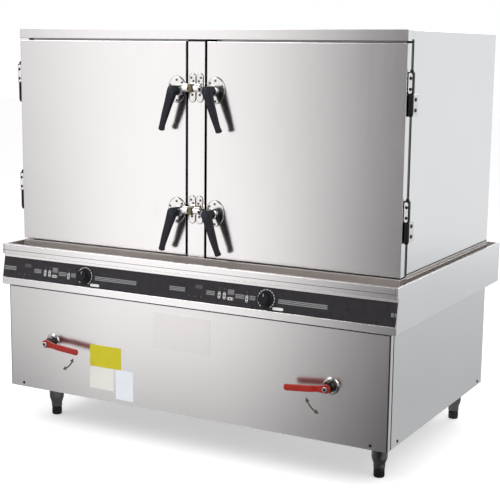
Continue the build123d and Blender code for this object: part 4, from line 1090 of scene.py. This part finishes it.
class BackOperator(bpy.types.Operator):
    """Makes the cable gland at the back"""
    bl_idname = "steamer.gland"
    bl_label = "Cable gland"

    profile = ((9, -3), (10.5, -3), (10.5, 0), (17.8, 0), (17.8, 7.5), (15, 8.5), (15, 15), (12.8, 19.5), (9, 19.8))

    def execute(self, context):
        low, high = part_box("cable_gland")
        seat = Seat(((low.x + high.x) / 2, BASE_BACK, (low.z + high.z) / 2), BACK)
        Surface().spun(seat, self.profile, 48, 1.2).build(
            "gland", "cabinet", plain("gland plastic", RUBBER, 0.5, 0.0, 90), "gland_plastic", "cable_gland")
        return {"FINISHED"}


class StageOperator(bpy.types.Operator):
    """Makes the floor, the surroundings, the lamps and the camera"""
    bl_idname = "steamer.stage"
    bl_label = "Floor, lights and camera"

    cool = (0.955, 0.985, 1.0)
    warm = (1.0, 0.985, 0.985)
    gain = 1.22
    viewer = (2.01, 2.74)
    floor_half = 20
    floor_fade = 12
    floor_glow = (0.48, 0.48, 0.48)
    soft_light = (0.62, 0.62, 0.63)
    # Degrees from straight in front towards the left, and the brightness there
    stops = ((-180, 0.71, cool), (-140, 0.71, cool), (-115, 0.42, warm), (-60, 0.6, warm), (-24, 0.5, warm),
             (-6, 0.07, warm), (12, 0.04, warm), (21, 0.13, warm),
             (23.8, 0.33, warm), (25, 0.46, warm), (26.3, 0.58, warm), (27.5, 0.72, warm), (28.7, 0.87, warm),
             (29.9, 0.96, warm), (33, 1.0, warm), (35.8, 1.0, warm), (37.1, 0.89, warm), (38.4, 0.74, warm),
             (39.5, 0.6, warm), (42, 0.46, warm), (75, 0.42, warm), (105, 0.71, warm), (180, 0.71, cool))
    # Shares of the fade distance, and the brightness of the floor there, beside the cabinet and elsewhere: a painted
    # shadow of the cabinet that only gloss sees
    beside_shadow_stops = ((0.1, 0.44, cool), (0.2, 0.5, cool), (0.3, 0.54, cool), (0.42, 0.7, cool), (1.0, 0.71, cool))
    near_shadow_stops = ((0.07, 0.5), (0.13, 0.7), (0.22, 0.92), (0.42, 0.97), (1.0, 1.0))
    # Name, place, width and power of the lamps, and the point that they look at
    lamps = (("key", (-2.6, -3.4, 3.6), 2.4, 95), ("fill", (3.2, -1.6, 3.4), 2.6, 60),
             ("back", (0.6, 3.4, 3.2), 2.4, 50))
    lamp_target = Vector((0, 0, 0.8))

    def surroundings(self, nodes, across, along):
        """Grey levels by direction about the object, from straight in front towards the left."""
        return nodes.ramp(across.angle_from(along) / (2 * pi) + 0.5,
                          [((degrees + 180) / 360, *level) for degrees, *level in self.stops])

    def floor(self, colour):
        """A pale floor that keeps the shadow, and shows in gloss as the surroundings do, darkened near and beside the
        cabinet by a painted shadow.
        """
        material = bpy.data.materials.new("studio floor")
        material.use_nodes = True
        nodes = Nodes(material.node_tree)
        x, y, _ = nodes.axes()
        beside = (y > BASE_LOW.y) * (x > BASE_HIGH.x)
        distance = (x * x + y * y).power(0.5) / self.floor_fade
        # Painted shadow: the floor that gloss sees is darker near the cabinet and beside it
        ahead = nodes.make("ShaderNodeVectorMath", {"operation": "MULTIPLY"}, {
            0: self.surroundings(nodes, self.viewer[0] - x, self.viewer[1] - y),
            1: nodes.ramp(distance, self.near_shadow_stops)})
        shown = nodes.mix(beside, ahead, nodes.ramp(distance, self.beside_shadow_stops))
        matt = nodes.make("ShaderNodeBsdfDiffuse", None, {"Color": colour})
        glow = nodes.make("ShaderNodeEmission", None, {
            "Color": nodes.mix(nodes.ray("Camera"), (0, 0, 0), self.floor_glow)})
        lit = nodes.make("ShaderNodeAddShader", None, {0: matt, 1: glow})
        mirrored = nodes.make("ShaderNodeEmission", None, {"Color": shown, "Strength": self.gain})
        nodes.show("ShaderNodeOutputMaterial", nodes.make("ShaderNodeMixShader", None, {
            0: nodes.ray("Glossy"), 1: lit, 2: mirrored}))
        half = self.floor_half
        corners = np.array([(-half, -half), (half, -half), (half, half), (-half, half)], float)
        Surface().plate(Seat((0, 0, -0.01), UP, BACK), corners, 0.01, 0.001).build("studio_floor", None, material)

    def world(self, scene):
        """White for the camera, the surroundings for gloss and an even soft light for the rest."""
        scene.world = bpy.data.worlds.new("studio")
        scene.world.use_nodes = True
        nodes = Nodes(scene.world.node_tree)
        camera, glossy = nodes.ray("Camera"), nodes.ray("Glossy")
        x, y, _ = nodes.axes(nodes.make("ShaderNodeTexCoord", output="Generated"))
        lit = nodes.mix(glossy, self.soft_light, self.surroundings(nodes, 0 - x, 0 - y))
        nodes.show("ShaderNodeOutputWorld", nodes.make("ShaderNodeBackground", None, {
            "Color": nodes.mix(camera, lit, (1, 1, 1)),
            "Strength": glossy * (1 - camera) * (self.gain - 1) + 1}))

    def lamp(self, scene, name, place, size, power):
        """A square lamp that looks at the lamps' point."""
        light = bpy.data.lights.new(name, "AREA")
        light.shape, light.size, light.energy = "SQUARE", size, power
        thing = bpy.data.objects.new(name, light)
        scene.collection.objects.link(thing)
        thing.location = place
        thing.rotation_euler = (self.lamp_target - Vector(place)).to_track_quat("-Z", "Y").to_euler()

    def camera(self, scene, settings):
        """The view's forward direction from yaw and pitch, then a small roll about it."""
        forward = np.array([-sin(settings.yaw) * cos(settings.pitch), cos(settings.yaw) * cos(settings.pitch),
                            -sin(settings.pitch)])
        right = unit(np.cross(forward, UP))
        up = np.cross(right, forward)
        rolled_right = right * cos(settings.roll) + up * sin(settings.roll)
        rolled_up = -right * sin(settings.roll) + up * cos(settings.roll)
        data = bpy.data.cameras.new("camera")
        data.sensor_width, data.lens = 36, settings.lens
        scene.camera = bpy.data.objects.new("camera", data)
        scene.collection.objects.link(scene.camera)
        rows = zip(rolled_right, rolled_up, -forward, settings.camera_place)
        scene.camera.matrix_world = Matrix((*rows, (0, 0, 0, 1)))

    def execute(self, context):
        scene = context.scene
        self.floor(scene.steamer_stage.floor)
        self.world(scene)
        for lamp in self.lamps:
            self.lamp(scene, *lamp)
        self.camera(scene, scene.steamer_stage)
        scene.view_settings.view_transform = "Standard"
        return {"FINISHED"}


class SteamerPanel(bpy.types.Panel):
    """Lists every step of the dressing in the sidebar"""
    bl_idname = "VIEW3D_PT_steamer"
    bl_label = "Rice steamer cabinet"
    bl_space_type = "VIEW_3D"
    bl_region_type = "UI"
    bl_category = "Steamer"

    def draw(self, context):
        for name, group in GROUPS.items():
            box = self.layout.box()
            settings = getattr(context.scene, name)
            for key in group.__annotations__:
                box.prop(settings, key)
        for operator in OPERATORS:
            self.layout.operator(operator.bl_idname)


GROUPS = {
    "steamer_steel": SteelSettings,
    "steamer_latch": LatchSettings,
    "steamer_hinge": HingeSettings,
    "steamer_panel": PanelSettings,
    "steamer_drain": DrainSettings,
    "steamer_leg": LegSettings,
    "steamer_plate": PlateSettings,
    "steamer_stage": StageSettings,
}
OPERATORS = (StageOperator, SheetOperator, LatchOperator, KeeperOperator, HingeOperator, ScrewOperator,
             DialOperator, PanelOperator, DrainOperator, MarkOperator, LegOperator, BackOperator)


CLASSES = (*GROUPS.values(), *OPERATORS, SteamerPanel)


def register():
    """Registers the settings, the operators and the panel."""
    for item in CLASSES:
        bpy.utils.register_class(item)
    for name, group in GROUPS.items():
        setattr(bpy.types.Scene, name, bpy.props.PointerProperty(type=group))


def unregister():
    """Takes them away again."""
    for name in GROUPS:
        delattr(bpy.types.Scene, name)
    for item in reversed(CLASSES):
        bpy.utils.unregister_class(item)


def main():
    """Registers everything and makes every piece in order."""
    register()
    for operator in OPERATORS:
        group, name = operator.bl_idname.split(".")
        getattr(getattr(bpy.ops, group), name)()


if __name__ == "__main__":
    main()
